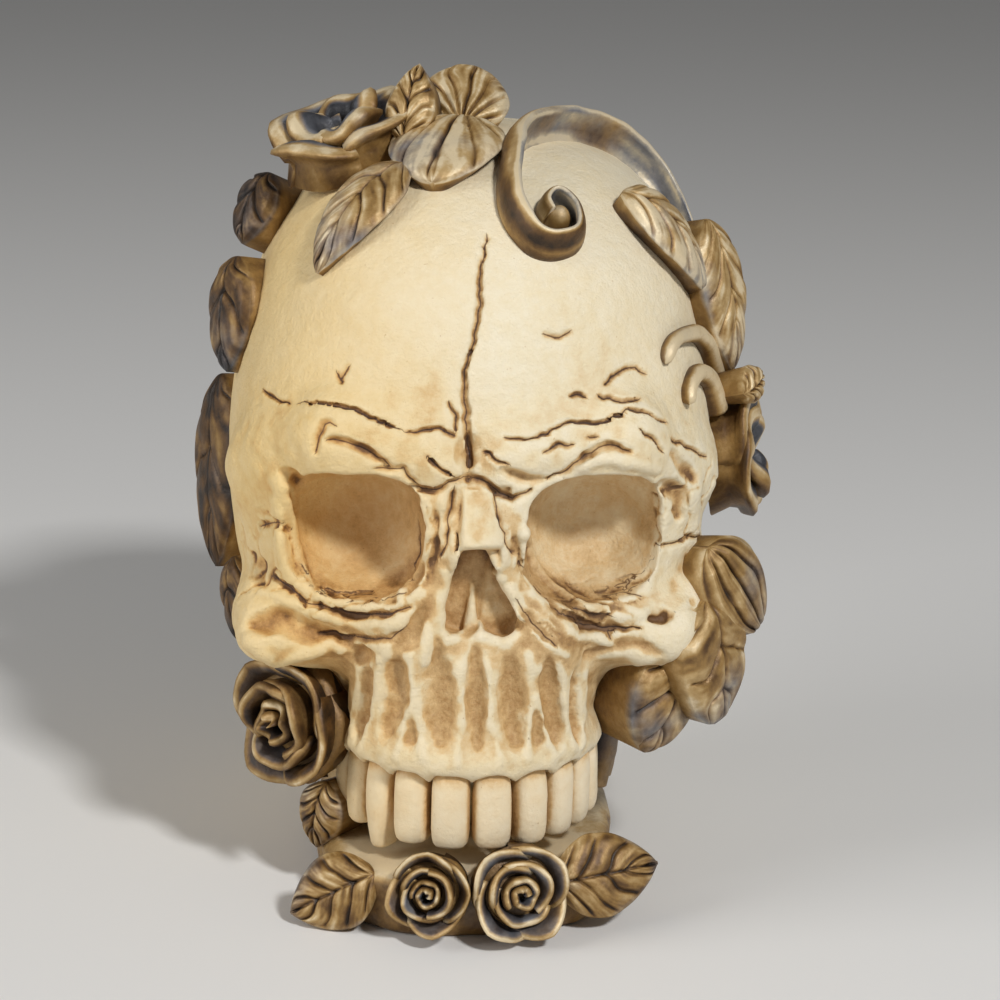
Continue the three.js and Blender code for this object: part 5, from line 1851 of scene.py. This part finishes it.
def build_tube(name, spots, thickness, proud, taper, material):
    share = np.linspace(0, 1, TUBE_STEPS + 1)[:, None]
    tip = np.sqrt(np.clip(1 - (1 - np.clip(share / TUBE_TIP, 0, 1)) ** 2, TUBE_TIP_LEAST, 1))
    radius = thickness / 2 * (1 - taper * (1 - share)) * tip
    turn = full_turn(TUBE_AROUND)[None, :]
    raised = radius * np.cos(turn) * TUBE_TALL + proud
    points, faces = swept(skin_route(spots, TUBE_STEPS), radius * np.sin(turn), raised)
    # Painted light and shade for the whole tube come in here
    rub = TUBE_RUB + PAINTED_LIGHT_AND_SHADE.get(name, 0) + TUBE_TOP_RUB * smoothstep(*TUBE_TOP, np.cos(turn))
    rub = rub + TUBE_END_RUB * smoothstep(*TUBE_END, share)
    add_ornament(name, shaken(points, *TUBE_SHAKE), faces, rub, TUBE_COOL + 0 * rub, material)


# The foot: a blunt oval bed with the pour hole through it

FOOT_AROUND = 200
# The foot's outer profile: share of its height, and how far in from the rim as a share of its rounding
FOOT_PROFILE = (
    (0.0, 1.0), (0.02, 0.5), (0.08, 0.15), (0.2, 0.0), (0.3, 0.0), (0.4, 0.0), (0.5, 0.0), (0.6, 0.0),
    (0.7, 0.0), (0.8, 0.05), (0.92, 0.35), (1.0, 1.0),
)
# The uneven rim: height of its lumps, and their noises by weight, width and seed
FOOT_LUMPS = 0.9
FOOT_GRAIN = ((1, 7.0, 31), (0.4, 2.8, 32))
FOOT_RUB = 0.12
FOOT_LUMP_RUB = 0.34
FOOT_TOP_RUB = 0.40
FOOT_TOP = (0.8, 1.0)
FOOT_LIP_RUB = 0.26
FOOT_FRONT = (-34, -44)
FOOT_COOL = 0.1


def build_foot():
    turn = full_turn(FOOT_AROUND)
    oval = blunt_oval(turn, FOOT_SQUARENESS)
    loops = []
    for share, inset in FOOT_PROFILE:
        x = oval[:, 0] * (FOOT_WIDTH / 2 - inset * FOOT_ROUNDING)
        y = oval[:, 1] * (FOOT_LENGTH / 2 - inset * FOOT_ROUNDING) + FOOT_SETBACK
        loops.append(level_ring(x, y, FOOT_HEIGHT * share))
    hole = (POUR_HOLE / 2 * np.cos(turn), POUR_HOLE / 2 * np.sin(turn) + POUR_HOLE_SETBACK)
    for height in (FOOT_HEIGHT, 0.0):
        loops.append(level_ring(*hole, height))
    loops = np.array(loops + loops[:1])
    lumps = FOOT_LUMPS * layered(loops, FOOT_GRAIN)
    lumps[0] = 0
    lumps[len(FOOT_PROFILE):] = 0
    out = unit(loops * (1, 1, 0) - np.array([0, FOOT_SETBACK, 0]))
    loops = loops + out * lumps[..., None]
    points, faces = loft(loops, capped=False)
    upper = smoothstep(*FOOT_TOP, loops[..., 2] / FOOT_HEIGHT)
    front = smoothstep(*FOOT_FRONT, loops[..., 1])
    rub = FOOT_RUB + FOOT_LUMP_RUB * smoothstep(0, FOOT_LUMPS, lumps)
    rub += upper * (FOOT_TOP_RUB + FOOT_LIP_RUB * front)
    paint = {"rub": rub, "cool": FOOT_COOL + 0 * rub}
    add_piece("gilt_floral_foot", points, faces, paint, BRONZE, "floral_foot")


build_skull()
build_teeth()
build_foot()
build_leaves()
for rose in ROSES:
    build_rose(*rose)
build_scroll()
for tendril, tendril_spots in TENDRILS.items():
    build_tube(tendril, tendril_spots, TENDRIL_THICKNESS, TENDRIL_PROUD, TENDRIL_TAPER, BRONZE)
# The stems take the bronze with painted shade
for stem, stem_spots in STEMS.items():
    build_tube(stem, stem_spots, STEM_THICKNESS, STEM_PROUD, STEM_TAPER, SHADED_BRONZE)


# The floor, the light and the camera

FLOOR_SIZE = 6.0
FLOOR_COLOUR = (0.82, 0.81, 0.79, 1)
FLOOR_ROUGHNESS = 0.8
KEY_PLACE = (0.46, -0.86, 0.86)
KEY_SIZE = 0.14
KEY_POWER = 10.6
FILL_PLACE = (-1.0, -0.36, 0.5)
FILL_SIZE = 0.7
FILL_POWER = 6.0
SKY_COLOUR = (1, 1, 1, 1)
SKY_STRENGTH = 0.15
CAMERA_CLIP = 0.01


def aimed(place, target):
    """A turn that points an object's own -Z from a place at a target."""
    return (Vector(target) - Vector(place)).to_track_quat("-Z", "Y")


def add_floor():
    half = FLOOR_SIZE / 2
    corners = [(-half, -half, 0), (half, -half, 0), (half, half, 0), (-half, half, 0)]
    mesh = bpy.data.meshes.new("studio_floor")
    mesh.from_pydata(corners, [], [(0, 1, 2, 3)])
    material = bpy.data.materials.new("studio_floor")
    material.use_nodes = True
    surface = node_of(material.node_tree, "BSDF_PRINCIPLED")
    surface.inputs["Base Color"].default_value = FLOOR_COLOUR
    surface.inputs["Roughness"].default_value = FLOOR_ROUGHNESS
    mesh.materials.append(material)
    floor = bpy.data.objects.new("studio_floor", mesh)
    bpy.context.scene.collection.objects.link(floor)


def add_light(name, place, size, power):
    light = bpy.data.lights.new(name, "AREA")
    light.size = size
    light.energy = power
    lamp = bpy.data.objects.new(name, light)
    lamp.location = place
    lamp.rotation_mode = "QUATERNION"
    lamp.rotation_quaternion = aimed(place, (0, 0, AIM_HEIGHT * MM))
    bpy.context.scene.collection.objects.link(lamp)


def add_sky():
    world = bpy.data.worlds.new("studio")
    world.use_nodes = True
    background = node_of(world.node_tree, "BACKGROUND")
    background.inputs["Color"].default_value = SKY_COLOUR
    background.inputs["Strength"].default_value = SKY_STRENGTH
    bpy.context.scene.world = world


def add_camera():
    data = bpy.data.cameras.new("photo_camera")
    data.lens = LENS
    data.sensor_width = SENSOR_WIDTH
    data.clip_start = CAMERA_CLIP
    camera = bpy.data.objects.new("photo_camera", data)
    rows = np.eye(4)
    rows[:3] = np.stack([RIGHT, UP, BACK, EYE * MM], -1)
    camera.matrix_world = Matrix(rows.tolist())
    bpy.context.scene.collection.objects.link(camera)
    bpy.context.scene.camera = camera


add_floor()
add_light("key", KEY_PLACE, KEY_SIZE, KEY_POWER)
add_light("fill", FILL_PLACE, FILL_SIZE, FILL_POWER)
add_sky()
add_camera()
bpy.context.scene.view_settings.view_transform = "Standard"
